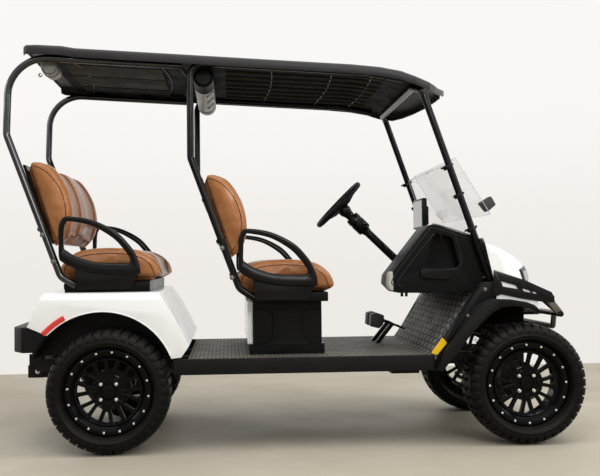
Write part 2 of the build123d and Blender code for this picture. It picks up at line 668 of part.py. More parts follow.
def hood_shape(inset):
    """Hood narrowing towards its nose, as a solid drawn in by the inset and then longer to the rear."""
    sections = [*HOOD_SECTIONS, (COWL_HALF_WIDTH, *HOOD_SIDE_STEP)]
    mirrored = [(-y, step, drop) for y, step, drop in reversed(sections[1:])]
    reach = COWL_HALF_WIDTH - inset
    open_rear = 60 if inset else 0
    faces = []
    for y, step, drop in mirrored + sections:
        points = []
        for x, z, share in HOOD_SIDE:
            lowered = z - drop if share and z > HOOD_DROP_ABOVE else z
            points.append((x - share * step - (inset if share else open_rear), lowered - inset))
        section = make_face(Polyline(*front(points), close=True))
        faces.append(Plane.XZ.offset(-max(-reach, min(reach, y))) * section)
    return loft(faces, ruled=True)


def fender_shape(inset):
    """Low part of the front body over the wheels and ahead of them."""
    half = COWL_HALF_WIDTH - inset
    points = [(x - inset, z - inset) for x, z in front(FENDER_SIDE)]
    if inset:
        points[0] = (points[0][0] - 60, points[0][1])
        points[4:] = [(points[4][0], 600), (points[0][0], 600)]
    nose = 105 - inset
    plan = front([(-300, -half), (60, -half), (nose, -420), (nose, 420), (60, half), (-300, half)])
    outline = make_face(Polyline(*plan, close=True))
    return side_solid(points, -half, half) & extrude(Plane.XY.offset(500) * outline, 500)


def front_cowl():
    """Hollow hood and front fenders in one moulding, open below and towards the dashboard."""
    cowl = hood_shape(0) + fender_shape(0)
    cowl -= hood_shape(SKIN)
    cowl -= fender_shape(SKIN)
    for pocket in headlights(SEAT_CLEARANCE):
        cowl -= pocket
    return cowl


def fender_flares():
    """Arched lips over the front wheels with the panels beside the toe board."""
    outer = [(-448, 369), (-403, 463), (-333, 557), (-244, 661), (-186, 692), (-148, 703), (-80, 700),
             (-10, 688), (32, 672), (69, 636)]
    inner = [(60, 628), (28, 652), (-14, 662), (-80, 668), (-130, 662), (-172, 640), (-225, 592), (-285, 530),
             (-345, 452), (-399, 390), (-424, 359)]
    lip = side_solid(front(outer + inner), -612, -COWL_HALF_WIDTH - SEAT_CLEARANCE)
    panel = side_solid(front([(-438, 404), (-403, 463), (-333, 557), (-244, 661), (-186, 690), (-146, 703),
                              (-146, 785), (-196, 785), (-251, 728), (-438, FLOOR_TOP)]), -COWL_HALF_WIDTH,
                       -TOE_HALF_WIDTH - SEAT_CLEARANCE)
    around = STRUT_RADIUS + 1
    foot = side_solid(front([(-190, 740), (-120, 740), (-120, 800), (-240 - around, 800)]), -STRUT_Y - around,
                      around - STRUT_Y)
    return both_sides(lip) + both_sides(panel - foot)


def headlights(grow=0):
    """Lamp units at the two front corners of the hood; grown, the pockets that hold them."""
    outline = make_face(Polyline(*front(HEADLIGHT), close=True))
    if grow:
        outline = offset(outline, grow)
    low, high = HEADLIGHT_Y
    lamp = extrude(Plane.XZ.offset(low - grow) * outline, high - low + 2 * grow)
    return both_sides(lamp)


GUARD_Y = COWL_HALF_WIDTH + SEAT_CLEARANCE
GUARD_TUBE = 14
GUARD_PLATE = [(-153, 842), (1, 791), (133, 731), (145, 701), (147, 681), (100, 682), (-20, 703), (-115, 724),
               (-160, 712)]
GUARD_SLOTS = (
    [(-119, 788), (-45, 766), (-34, 748), (-110, 762)],
    [(-14, 752), (22, 741), (30, 728), (-8, 738)],
    [(35, 737), (54, 731), (60, 722), (38, 727)],
)


def brush_guard():
    """Slotted side plates, sloping front arms and tubes ahead of the hood."""
    side = side_solid(front(GUARD_PLATE), -GUARD_Y - 6, -GUARD_Y)
    for slot in GUARD_SLOTS:
        side -= side_solid(front(slot), -GUARD_Y - 10, 10 - GUARD_Y)
    arm = side_solid(front([(100, 690), (145, 700), (208, 624), (192, 609)]), -GUARD_Y + 60, 72 - GUARD_Y)
    guard = side + mirror(side, Plane.XZ) + arm + mirror(arm, Plane.XZ)
    x = FRONT_AXLE_X
    main_x, main_z = x + 190, 622
    guard += rod((x + 133, -GUARD_Y - 2, 706), (x + 133, GUARD_Y + 2, 706), GUARD_TUBE)
    guard += rod((main_x, 30 - GUARD_Y, main_z), (main_x, GUARD_Y - 30, main_z), GUARD_TUBE)
    hoop = [(main_x, -430, main_z), (main_x + 32, -320, 548), (main_x + 32, 320, 548), (main_x, 430, main_z)]
    guard += tube(hoop, GUARD_TUBE, 40)
    for side_sign in (-1, 1):
        y = side_sign * RAIL_Y
        guard += rod((FRAME_FRONT, y, GUARD_TUBE_Z), (main_x, y, GUARD_TUBE_Z), GUARD_TUBE)
    return guard


# ---- dashboard and controls ----
HUB_X = FRONT_AXLE_X - 804
HUB_Z = 1214
DASH_FOOT = (-205, TOE_TOP + SEAT_CLEARANCE)
DASH_FRONT = [(-215, 1000), (-180, 850)]
DASH_BIN_SIDE = [DASH_FOOT, (-615, 735), (-655, 775), (-650, 820), (-475, 1040), (-450, 1066), (-425, 1068),
                 (-250, 1012), *DASH_FRONT]
DASH_MIDDLE = [DASH_FOOT, (-495, 735), (-490, 800), (-404, 1046), (-380, 1060), (-250, 1014), *DASH_FRONT]
DASH_DRIVER = [DASH_FOOT, (-430, 735), (-425, 800), (-336, 1030), (-310, 1042), (-250, 1014), *DASH_FRONT]
DASH_STEPS = (-250, 120)    # across the vehicle, where the outline changes
DASH_POCKET = [(-430, 1030), (-340, 1005), (-300, 850), (-480, 850)]
DASH_BIN = [(-520, 850), (-400, 850), (-350, 960), (-520, 1000)]


def dashboard():
    """Dashboard, deepest on the passenger's side, with a pocket in its end and an open bin in the middle."""
    half = TOE_HALF_WIDTH
    edges = (-half, *DASH_STEPS, half)
    dash = None
    for outline, low, high in zip((DASH_BIN_SIDE, DASH_MIDDLE, DASH_DRIVER), edges, edges[1:]):
        section = side_solid(front(outline), low, high, 14)
        dash = section if dash is None else dash + section
    dash -= side_solid(front(DASH_POCKET), -half - 5, 70 - half, 20)
    dash -= side_solid(front(DASH_BIN), -230, 60)
    column = Pos(*column_point(330)) * Rot(Y=90 + COLUMN_ANGLE) * Cylinder(COLUMN_RADIUS + 0.5, 520)
    return dash - column - screen_stub(SEAT_CLEARANCE)


def column_point(distance):
    """Point on the steering column's axis, measured down from the steering wheel's hub."""
    return (HUB_X + distance * cos(radians(COLUMN_ANGLE)), COLUMN_Y,
            HUB_Z - distance * sin(radians(COLUMN_ANGLE)))


def along_column(start, length, radius):
    """Cylinder about the steering column's axis."""
    return Pos(*column_point(start + length / 2)) * Rot(Y=90 + COLUMN_ANGLE) * Cylinder(radius, length)


def steering_wheel():
    """Rim, three spokes and hub."""
    tilt = Pos(HUB_X, COLUMN_Y, HUB_Z) * Rot(Y=COLUMN_ANGLE - 90)
    wheel = tilt * Torus(STEERING_WHEEL_RADIUS - 14, 14)
    for turn in (0, 120, 240):
        wheel += tilt * Rot(Z=turn) * Pos((STEERING_WHEEL_RADIUS - 14) / 2, 0, -8) * Box(
            STEERING_WHEEL_RADIUS - 20, 34, 10)
    wheel += tilt * Pos(0, 0, -14) * Cylinder(38, 34)
    return wheel


def steering_column():
    """Column tube and its shroud, from the steering wheel into the dashboard."""
    column = along_column(31 + SEAT_CLEARANCE, 90, 34)
    column += along_column(100, 480, COLUMN_RADIUS)
    return column


def screen_stub(grow):
    """Foot of the display, let into the top of the dashboard; grown, its pocket."""
    x = FRONT_AXLE_X - 394
    return block((x - grow, x + 34 + grow), (10 - grow, 70 + grow), (1036 - grow, 1100))


def touch_screen():
    """Display on a stub behind the top of the dashboard."""
    x = FRONT_AXLE_X - 398
    screen = block((x, x + 26), (-80, 165), (1064, 1226))
    screen += block((x + 26, x + 48), (-20, 105), (1085, 1185))
    return screen + screen_stub(0)


PEDAL_ARM = [(-640, FLOOR_TOP), (-600, FLOOR_TOP), (-574, 552), (-590, 562)]
PEDAL_PAD = [(-655, 600), (-580, 552), (-570, 566), (-640, 616)]
PEDALS = ((110, 70), (250, 90))     # middle across the vehicle, width of the pad


def pedals():
    """Accelerator and brake pedals on arms that stand on the floor."""
    pieces = []
    for y, width in PEDALS:
        arm = side_solid(front(PEDAL_ARM), y - 9, y + 9)
        pad = side_solid(front(PEDAL_PAD), y - width / 2, y + width / 2)
        pieces.append(arm + pad)
    return pieces


# ---- windshield ----
PANE = 5
LOWER_PANE = ((-248, 1034), (-358, 1367))       # lower and upper edge, from the front axle
UPPER_PANE = ((-150, 1115), (-322, 1394))
PANE_HALF_WIDTH = STRUT_Y - STRUT_RADIUS - SEAT_CLEARANCE
HINGE_WIDTH = 60
CATCH = 24              # length of each catch


def pane_length(edges):
    (x_low, z_low), (x_high, z_high) = edges
    return hypot(x_high - x_low, z_high - z_low)


def on_pane(edges, along, out):
    """Point beside a pane in side view: distance up from its lower edge and out from its rear face."""
    (x_low, z_low), (x_high, z_high) = edges
    length = pane_length(edges)
    ux, uz = (x_high - x_low) / length, (z_high - z_low) / length
    return x_low + along * ux + out * uz, z_low + along * uz - out * ux


def pane_piece(edges, along, out, y_low, y_high):
    """Block lying against a pane, from (low, high) pairs along it and out from it."""
    corners = [on_pane(edges, along[i], out[j]) for i, j in ((0, 0), (1, 0), (1, 1), (0, 1))]
    return side_solid(front(corners), y_low, y_high)


def windshield():
    """Lower pane between the struts and upper pane folded down in front of it."""
    return [pane_piece(edges, (0, pane_length(edges)), (0, PANE), -PANE_HALF_WIDTH, PANE_HALF_WIDTH)
            for edges in (LOWER_PANE, UPPER_PANE)]


def windshield_clips():
    """Hinges between the panes, catches on the struts and the grips on the folded pane's edge."""
    gap = SEAT_CLEARANCE
    pieces = []
    lower_length = pane_length(LOWER_PANE)
    upper_length = pane_length(UPPER_PANE)
    hinge = [on_pane(LOWER_PANE, lower_length + step, PANE + gap) for step in (-24, 12)]
    hinge += [on_pane(UPPER_PANE, upper_length + step, -gap) for step in (4, -36)]
    for y in (-PANE_HALF_WIDTH, -HINGE_WIDTH / 2, PANE_HALF_WIDTH - HINGE_WIDTH):
        pieces.append(side_solid(front(hinge), y, y + HINGE_WIDTH))
    grip_y = PANE_HALF_WIDTH - 55
    for low, high in ((-grip_y - 50, -grip_y), (grip_y, grip_y + 50)):
        pieces.append(pane_piece(UPPER_PANE, (28, 76), (PANE + gap, PANE + 38), low, high))
    for along in (60, lower_length - 60):
        catch = pane_piece(LOWER_PANE, (along - CATCH / 2, along + CATCH / 2), (PANE + gap, PANE + 26),
                           -PANE_HALF_WIDTH, 26 - PANE_HALF_WIDTH)
        pieces += both_sides(catch)
    return pieces


# ---- overhead speakers ----
SPEAKERS = (    # x from the rear axle, (low, high) across the vehicle, radius, gap under the liner
    (450, (-450, 450), 52, 10),
    (-283, (-478, -340), 41, 26),
)


def overhead_speakers():
    """Tubular speaker across the vehicle and a short one at the rear corner, each on two brackets."""
    pieces = []
    for offset_x, (low, high), radius, drop in SPEAKERS:
        x = REAR_AXLE_X + offset_x
        z = under_roof(x, radius) - drop
        speaker = Pos(x, (low + high) / 2, z) * Rot(X=90) * Cylinder(radius, high - low)
        top = roof_line(x + 20) - LINER_DEPTH - SEAT_CLEARANCE
        for share in (0.2, 0.8):
            y = low + share * (high - low)
            speaker += block((x - 20, x + 20), (y - 15, y + 15), (z + radius / 2, top))
        pieces.append(speaker)
    return pieces


write("chassis_frame", chassis_frame())
write("battery_pack", battery_pack())
write("seat_box_back", seat_box_back())
write("floor_pan", floor_pan())
write("rocker_panels", *rocker_panels())
write("rear_body", rear_body())
write("rear_wheel_liners", *rear_wheel_liners())
write("rear_bumper", rear_bumper())
write("rear_lights", *rear_lights())
write("hitch_receiver", hitch_receiver())
write("front_seat_box", front_seat_box())
write("rear_seat_base", rear_seat_base())
for seat_name, seat_place in zip(("rear", "front"), seat_places()):
    write(f"{seat_name}_seat_cushion", cushion(seat_place))
    write(f"{seat_name}_seat_back", seat_back(seat_place))
    write(f"{seat_name}_seat_back_shell", seat_back_shell(seat_place))
    write(f"{seat_name}_armrests", *armrests(seat_place))
write("roof", roof())
write("roof_liner", roof_liner())
write("front_struts", front_struts())
write("middle_struts", middle_struts())
write("rear_struts", rear_struts())
write("windshield", *windshield())
write("windshield_clips", *windshield_clips())
write("front_cowl", front_cowl())
write("fender_flares", *fender_flares())
write("headlights", *headlights())
write("brush_guard", brush_guard())
write("dashboard", dashboard())
write("steering_column", steering_column())
write("steering_wheel", steering_wheel())
write("touch_screen", touch_screen())
write("overhead_speakers", *overhead_speakers())
write("pedals", *pedals())
write("front_axle", front_axle())
write("rear_axle", rear_axle())
write("leaf_springs", *leaf_springs())
write("tie_rod", tie_rod())
for side_name, side_sign in (("left", 1), ("right", -1)):
    write(f"steering_knuckle_{side_name}", knuckle(side_sign))
    for end_name, wheel_x in (("front", FRONT_AXLE_X), ("rear", REAR_AXLE_X)):
        write(f"{end_name}_{side_name}_rim", at_wheel(rim(), wheel_x, side_sign))
        write(f"{end_name}_{side_name}_tyre", at_wheel(tyre(), wheel_x, side_sign))
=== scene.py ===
import math

import bpy
from mathutils import Matrix, Vector
from mathutils.bvhtree import BVHTree


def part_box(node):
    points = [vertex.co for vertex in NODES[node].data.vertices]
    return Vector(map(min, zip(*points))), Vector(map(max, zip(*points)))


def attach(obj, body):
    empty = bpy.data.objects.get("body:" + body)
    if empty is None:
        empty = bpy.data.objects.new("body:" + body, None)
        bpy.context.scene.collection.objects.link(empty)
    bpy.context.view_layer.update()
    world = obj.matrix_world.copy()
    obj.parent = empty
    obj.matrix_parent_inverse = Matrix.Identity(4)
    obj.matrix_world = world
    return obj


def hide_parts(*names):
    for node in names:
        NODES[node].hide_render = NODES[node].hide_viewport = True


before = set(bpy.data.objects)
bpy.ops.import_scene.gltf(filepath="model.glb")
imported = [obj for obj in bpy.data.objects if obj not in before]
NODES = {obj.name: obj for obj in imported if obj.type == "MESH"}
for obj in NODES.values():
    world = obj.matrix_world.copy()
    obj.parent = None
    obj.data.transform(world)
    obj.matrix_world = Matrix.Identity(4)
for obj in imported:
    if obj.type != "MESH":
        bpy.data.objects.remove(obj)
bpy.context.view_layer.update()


def middle(node):
    low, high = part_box(node)
    return (low + high) / 2


REAR_AXLE, FRONT_AXLE = middle("rear_right_rim"), middle("front_right_rim")
RX, FX, WHEEL_Z = REAR_AXLE.x, FRONT_AXLE.x, REAR_AXLE.z
QUARTER, FULL = math.pi / 2, 2 * math.pi


def metres(rows):
    """Rows of sizes written in millimetres, in metres."""
    return [tuple(value / 1000 for value in row) for row in rows]


def side_view(points, x, z=0.0):
    """Points in millimetres ahead of and above this place, in metres in the frame."""
    return [(x + px / 1000, z + pz / 1000) for px, pz in points]


# ---- shader groups ----

def paint(*display):
    """Linear colour from 0-255 display values."""
    linear = [c / 255 / 12.92 if c <= 10 else ((c / 255 + 0.055) / 1.055) ** 2.4 for c in display]
    return (*linear, 1)


def new_group(name, inputs, outputs):
    """Node group with named sockets; returns it with its input and output nodes."""
    group = bpy.data.node_groups.new(name, "ShaderNodeTree")
    for label, kind, value in inputs:
        socket = group.interface.new_socket(name=label, in_out="INPUT", socket_type="NodeSocket" + kind)
        if value is not None:
            socket.default_value = value
    for label, kind in outputs:
        group.interface.new_socket(name=label, in_out="OUTPUT", socket_type="NodeSocket" + kind)
    return group, group.nodes.new("NodeGroupInput"), group.nodes.new("NodeGroupOutput")


def feed(tree, socket, value):
    """Sets a socket to a value, or links another node's socket to it."""
    if isinstance(value, bpy.types.NodeSocket):
        tree.links.new(value, socket)
    else:
        socket.default_value = value


def add_node(tree, kind, settings=None, **inputs):
    """Node in a tree; inputs go by name, with underscores for spaces, or by number as i0, i1 and so on."""
    node = tree.nodes.new("ShaderNode" + kind)
    for key, value in (settings or {}).items():
        setattr(node, key, value)
    for key, value in inputs.items():
        place = int(key[1:]) if key[0] == "i" and key[1:].isdigit() else key.replace("_", " ")
        feed(tree, node.inputs[place], value)
    return node


def maths(tree, operation, first, second, clamp=False):
    settings = {"operation": operation, "use_clamp": clamp}
    return add_node(tree, "Math", settings, i0=first, i1=second).outputs[0]


def blend_colours(tree, share, first, second):
    return add_node(tree, "Mix", {"data_type": "RGBA"}, i0=share, i6=first, i7=second).outputs[2]


def span(tree, value, start, end, low=0.0, high=1.0):
    """low where the value is at start, high where it is at end."""
    return add_node(tree, "MapRange", i0=value, i1=start, i2=end, i3=low, i4=high).outputs[0]


def on_object(tree):
    return add_node(tree, "TexCoord").outputs["Object"]


def tone_group():
    """Slow change of colour over a surface, with dust lying in faces that look up."""
    group, given, out = new_group(
        "surface_tone",
        [("Colour", "Color", None), ("Second Colour", "Color", None), ("Scale", "Float", 4.0),
         ("Amount", "Float", 0.5), ("Dust Colour", "Color", None), ("Dust", "Float", 0.0)],
        [("Colour", "Color"), ("Mask", "Float")])
    given, place = given.outputs, on_object(group)
    noise = add_node(group, "TexNoise", Vector=place, Scale=given["Scale"], Detail=4.0, Roughness=0.6)
    patches = span(group, noise.outputs[0], 0.36, 0.64)
    share = maths(group, "MULTIPLY", patches, given["Amount"])
    toned = blend_colours(group, share, given["Colour"], given["Second Colour"])
    facing = add_node(group, "SeparateXYZ", i0=add_node(group, "NewGeometry").outputs["Normal"])
    specks = add_node(group, "TexNoise", Vector=place, Scale=38.0, Detail=6.0)
    lying = maths(group, "MULTIPLY", span(group, facing.outputs[2], 0.3, 1.0), specks.outputs[0])
    dust = maths(group, "MULTIPLY", lying, given["Dust"])
    feed(group, out.inputs["Colour"], blend_colours(group, dust, toned, given["Dust Colour"]))
    feed(group, out.inputs["Mask"], patches)
    return group


def grain_group():
    """Fine pebble and pore relief; Height feeds a bump and Pits marks its hollows."""
    group, given, out = new_group(
        "surface_grain", [("Scale", "Float", 400.0), ("Pebble", "Float", 0.5)],
        [("Height", "Float"), ("Pits", "Float")])
    given, place = given.outputs, on_object(group)
    cells = add_node(group, "TexVoronoi", {"feature": "SMOOTH_F1"}, Vector=place, Scale=given["Scale"],
                     Smoothness=0.6)
    noise = add_node(group, "TexNoise", Vector=place, Scale=given["Scale"], Detail=3.0)
    height = add_node(group, "Mix", i0=given["Pebble"], i2=noise.outputs[0],
                      i3=cells.outputs["Distance"]).outputs[0]
    feed(group, out.inputs["Height"], height)
    feed(group, out.inputs["Pits"], span(group, height, 0.3, 0.7))
    return group


TONE, GRAIN = tone_group(), grain_group()
DUST = (150, 140, 122)


def finish(name, colour, second, rough, spread, patch, patchy, grain, pebble, relief, depth, metallic=0.0,
           coat=0.0, coat_rough=0.1, dust=0.0, dust_colour=DUST, specular=0.5):
    """Painted, moulded, metal or sewn finish: two colours in patches, a grain and its relief."""
    material = bpy.data.materials.new(name)
    material.use_nodes = True
    tree = material.node_tree
    shader = tree.nodes["Principled BSDF"].inputs
    tone = add_node(tree, "Group", {"node_tree": TONE}, Colour=paint(*colour), Second_Colour=paint(*second),
                    Scale=patch, Amount=patchy, Dust_Colour=paint(*dust_colour), Dust=dust).outputs
    texture = add_node(tree, "Group", {"node_tree": GRAIN}, Scale=grain, Pebble=pebble).outputs
    bump = add_node(tree, "Bump", Strength=relief, Distance=depth, Height=texture["Height"])
    for socket, value in (
            ("Base Color", tone["Colour"]), ("Normal", bump.outputs[0]), ("Metallic", metallic),
            ("Roughness", span(tree, tone["Mask"], 0.0, 1.0, rough - spread, rough + spread)),
            ("Coat Weight", coat), ("Coat Roughness", coat_rough), ("Specular IOR Level", specular)):
        feed(tree, shader[socket], value)
    return material


# colour, second colour, roughness and its spread, patch scale and strength, grain scale, pebble share,
# relief and its depth
WHITE_BODY = finish("white_gelcoat", (243, 243, 243), (239, 240, 241), 0.22, 0.04, 2.2, 0.6, 60, 0.0, 0.03,
    0.0003, coat=0.4, coat_rough=0.05, specular=0.4)
BLACK_PLASTIC = finish("moulded_black", (10, 10, 11), (15, 15, 16), 0.32, 0.05, 7, 0.7, 900, 0.7, 0.12,
    0.0002, specular=0.1)
FLARE_PLASTIC = finish("flare_black", (15, 15, 16), (22, 22, 23), 0.42, 0.07, 9, 0.7, 700, 0.7, 0.2, 0.0002,
    dust=0.06, specular=0.1)
ROCKER_PLASTIC = finish("rocker_black", (23, 22, 22), (29, 28, 28), 0.5, 0.06, 5, 0.7, 800, 0.6, 0.2,
    0.0002, specular=0.08, dust=0.12)
BLACK_STEEL = finish("powder_coated_steel", (9, 9, 10), (14, 14, 16), 0.22, 0.04, 6, 0.6, 300, 0.6, 0.02,
    0.0001, specular=0.2)
STRUT_GLOSS = finish("strut_gloss_black", (10, 10, 12), (15, 15, 17), 0.16, 0.04, 6, 0.6, 300, 0.6, 0.02,
    0.0001, coat=0.3, coat_rough=0.08, specular=0.6)
ARM_PLASTIC = finish("armrest_black", (6, 6, 7), (10, 10, 11), 0.24, 0.04, 6, 0.6, 300, 0.6, 0.02, 0.0001,
    specular=0.2)
GRIP_RUBBER = finish("grip_rubber", (14, 14, 14), (20, 20, 19), 0.5, 0.05, 9, 0.6, 260, 0.6, 0.02, 0.0001,
    specular=0.14)
FRAME_STEEL = finish("chassis_steel", (16, 16, 16), (28, 26, 24), 0.6, 0.1, 9, 0.8, 800, 0.5, 0.4, 0.0004,
    dust=0.3, specular=0.2)
AXLE_STEEL = finish("axle_steel", (40, 39, 38), (72, 67, 60), 0.5, 0.12, 12, 0.7, 500, 0.4, 0.5, 0.0006,
    metallic=0.6, dust=0.3)
ROOF_SATIN = finish("roof_satin", (44, 43, 45), (52, 51, 53), 0.42, 0.06, 5, 0.6, 900, 0.5, 0.15, 0.0002,
    dust=0.12, specular=0.2)
LINER_PLASTIC = finish("liner_black", (13, 12, 12), (19, 18, 17), 0.6, 0.08, 8, 0.6, 500, 0.5, 0.3, 0.0003,
    specular=0.02)
DASH_PLASTIC = finish("dash_black", (12, 12, 13), (18, 18, 19), 0.44, 0.05, 7, 0.7, 900, 0.7, 0.3, 0.0003,
    specular=0.07)
RIM_GLOSS = finish("rim_gloss_black", (4, 4, 5), (7, 7, 8), 0.14, 0.04, 8, 0.6, 80, 0.2, 0.03, 0.0001,
    coat=0.05, coat_rough=0.04, specular=0.08)
BRIGHT_STEEL = finish("bright_steel", (222, 220, 214), (184, 180, 174), 0.28, 0.08, 60, 0.6, 900, 0.4, 0.2,
    0.0001, metallic=1.0)
TYRE_RUBBER = finish("tyre_rubber", (11, 11, 11), (17, 16, 15), 0.44, 0.08, 14, 0.7, 600, 0.4, 0.3, 0.0003,
    specular=0.1, dust=0.14, dust_colour=(104, 94, 72))
LEATHER = finish("saddle_leather", (178, 120, 76), (155, 100, 59), 0.3, 0.05, 5, 0.8, 420, 0.8, 0.05,
    0.0002, coat=0.06, coat_rough=0.14, specular=0.26)
PIPING = finish("piping_brown", (96, 54, 28), (78, 42, 22), 0.5, 0.06, 20, 0.6, 900, 0.6, 0.3, 0.0002,
    specular=0.2)
SPEAKER_GREY = finish("speaker_grey", (124, 122, 118), (106, 104, 100), 0.4, 0.08, 12, 0.6, 900, 0.4, 0.3,
    0.0002, metallic=0.3)
SCREEN_GLASS = finish("screen_glass", (186, 194, 194), (166, 176, 178), 0.12, 0.03, 3, 0.7, 200, 0.2, 0.02,
    0.0001, coat=0.5, coat_rough=0.03)
RED_LENS = finish("red_lens", (222, 44, 38), (190, 30, 26), 0.18, 0.04, 30, 0.6, 240, 1.0, 0.3, 0.0006,
    coat=0.5, coat_rough=0.06)
LAMP_LENS = finish("lamp_lens", (150, 153, 157), (52, 54, 58), 0.12, 0.04, 34, 0.8, 120, 1.0, 0.3, 0.0008,
    coat=0.5, coat_rough=0.04, metallic=0.4)
YELLOW_TAG = finish("yellow_tag", (238, 196, 12), (222, 172, 10), 0.5, 0.05, 30, 0.5, 900, 0.5, 0.2, 0.0002,
    specular=0.3)
WHITE_REFLECTOR = finish("white_reflector", (230, 230, 226), (206, 206, 204), 0.3, 0.05, 60, 0.6, 700, 1.0,
    0.4, 0.0003)
# grey on the black liner: painted highlight on its ribs and painted sheen on its middle panels
LINER_PAINTED_SHEEN = finish("liner_painted_sheen", (50, 48, 44), (62, 59, 54), 0.6, 0.08, 9, 0.7, 500, 0.5, 0.2, 0.0002,
    specular=0.02)
BOLT_GREY = finish("bolt_grey", (120, 118, 116), (90, 88, 86), 0.4, 0.08, 60, 0.6, 900, 0.4, 0.2, 0.0001,
    metallic=0.8)
BRIM_PLASTIC = finish("brim_black", (27, 27, 28), (34, 34, 35), 0.4, 0.06, 12, 0.6, 800, 0.6, 0.2, 0.0002,
    specular=0.2)
RUBBER_GREY = finish("rubber_grey", (52, 52, 53), (64, 64, 64), 0.5, 0.07, 12, 0.6, 800, 0.6, 0.4, 0.0003,
    specular=0.3)
CAP_GREY = finish("cap_grey", (176, 174, 166), (160, 158, 150), 0.4, 0.06, 9, 0.6, 900, 0.5, 0.25, 0.0003)
BRONZE_STEEL = finish("bronze_steel", (104, 98, 88), (84, 79, 71), 0.36, 0.07, 10, 0.6, 900, 0.5, 0.25,
    0.0003, metallic=0.5)
# near-white and partly clear: painted highlight along the pane edges and hinges, also used on the left pane
# grip
PANE_EDGE_HIGHLIGHT = finish("pane_edge", (228, 228, 236), (214, 214, 224), 0.3, 0.05, 12, 0.5, 700, 0.3, 0.1, 0.0001)
PANE_EDGE_HIGHLIGHT.node_tree.nodes["Principled BSDF"].inputs["Alpha"].default_value = 0.4
CONCRETE = finish("floor_concrete", (181, 173, 156), (169, 161, 144), 0.5, 0.08, 1.1, 0.7, 90, 0.1, 0.06,
    0.001, specular=0.12)


def mat_material():
    """Floor mat with staggered raised blocks, and painted shade in the recessed gaps between them."""
    material = finish("floor_mat", (101, 99, 94), (118, 115, 108), 0.6, 0.08, 9, 0.7, 700, 0.5, 0.3, 0.0004,
                      dust=0.5, specular=0.2)
    tree = material.node_tree
    place = add_node(tree, "Mapping", i0=on_object(tree), Rotation=(0, 0, QUARTER), Scale=(1, 0.16, 1))
    blocks = add_node(tree, "TexBrick", {"offset": 0.5}, Vector=place.outputs[0], Scale=11.0,
                      i1=(1, 1, 1, 1), i2=(0.9, 0.9, 0.9, 1), i3=(0, 0, 0, 1), Mortar_Size=0.03,
                      Mortar_Smooth=0.3, Brick_Width=0.141, Row_Height=0.21).outputs
    shader = tree.nodes["Principled BSDF"].inputs
    fine = shader["Normal"].links[0].from_socket
    unshaded_colour = shader["Base Color"].links[0].from_socket
    raised = add_node(tree, "Bump", Strength=0.9, Distance=0.004, Height=blocks["Color"], Normal=fine)
    feed(tree, shader["Normal"], raised.outputs[0])
    # near-black gaps: painted shade in the grooves between the raised blocks
    feed(tree, shader["Base Color"], blend_colours(tree, blocks["Fac"], unshaded_colour, paint(36, 35, 33)))
    return material


def pane_material():
    """Clear pane: thin film of smears, more solid at a glancing angle."""
    material = bpy.data.materials.new("clear_pane")
    material.use_nodes = True
    tree = material.node_tree
    shader = tree.nodes["Principled BSDF"].inputs
    edge = add_node(tree, "LayerWeight", Blend=0.35).outputs["Fresnel"]
    smear = add_node(tree, "TexNoise", Vector=on_object(tree), Scale=5.0, Detail=3.0).outputs[0]
    film = maths(tree, "MULTIPLY", smear, 0.05)
    cover = maths(tree, "ADD", film, span(tree, edge, 0.0, 1.0, 0.05, 0.16), True)
    for socket, value in (("Base Color", (0.98, 0.98, 0.985, 1)), ("IOR", 1.49), ("Alpha", cover),
                          ("Roughness", span(tree, smear, 0.0, 1.0, 0.02, 0.10))):
        feed(tree, shader[socket], value)
    return material


FLOOR_MAT, CLEAR_PANE = mat_material(), pane_material()


# ---- modelling helpers ----

def deselect():
    if bpy.context.mode != "OBJECT":
        bpy.ops.object.mode_set(mode="OBJECT")
    bpy.ops.object.select_all(action="DESELECT")


def pick(*pieces):
    deselect()
    for piece in pieces:
        piece.select_set(True)
    bpy.context.view_layer.objects.active = pieces[0]


def called(piece, name):
    piece.name = piece.data.name = name
    return piece


def begin(name, add, **placing):
    """Primitive added under this name, alone in the selection."""
    deselect()
    add(**placing)
    return called(bpy.context.object, name)


def edit(piece):
    pick(piece)
    bpy.ops.object.mode_set(mode="EDIT")
    bpy.ops.mesh.select_all(action="SELECT")


def close_edit():
    bpy.ops.mesh.select_all(action="SELECT")
    bpy.ops.mesh.remove_doubles(threshold=0.00002)
    bpy.ops.mesh.normals_make_consistent(inside=False)
    bpy.ops.object.mode_set(mode="OBJECT")


def place_in_mesh(piece):
    """Moves the object's own place and turn into its mesh."""
    pick(piece)
    bpy.ops.object.transform_apply(location=True, rotation=True, scale=True)


def apply_modifier(piece, kind, **settings):
    pick(piece)
    modifier = piece.modifiers.new(kind.title(), kind)
    for key, value in settings.items():
        setattr(modifier, key, value)
    bpy.ops.object.modifier_apply(modifier=modifier.name)


def bevel(piece, width, segments=2, angle=30):
    apply_modifier(piece, "BEVEL", width=width, segments=segments, limit_method="ANGLE",
                   angle_limit=math.radians(angle), use_clamp_overlap=True)


def shade(piece, angle=40):
    pick(piece)
    bpy.ops.object.shade_smooth_by_angle(angle=math.radians(angle))


def join(name, pieces):
    pick(*pieces)
    if len(pieces) > 1:
        bpy.ops.object.join()
    return called(bpy.context.object, name)


def copied(piece, name, matrix=Matrix.Identity(4)):
    """Copy with its own mesh, moved by the matrix."""
    twin = piece.copy()
    twin.data = piece.data.copy()
    bpy.context.scene.collection.objects.link(twin)
    called(twin, name).data.transform(matrix)
    if matrix.determinant() < 0:
        twin.data.flip_normals()
    return twin


def discard(*models):
    for model in models:
        bpy.data.objects.remove(model)


def settle(piece, material, replaces=(), body="vehicle"):
    """Gives a finished piece its material, its body and what it stands for."""
    place_in_mesh(piece)
    piece.data.materials.clear()
    piece.data.materials.append(material)
    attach(piece, body)
    if replaces:
        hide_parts(*replaces)


def settle_joined(name, parts, smooth, material, replaces=(), body="vehicle"):
    """Joins the parts into one piece, smooths it where an angle is given, and settles it."""
    piece = join(name, parts)
    if smooth:
        shade(piece, smooth)
    settle(piece, material, replaces, body)


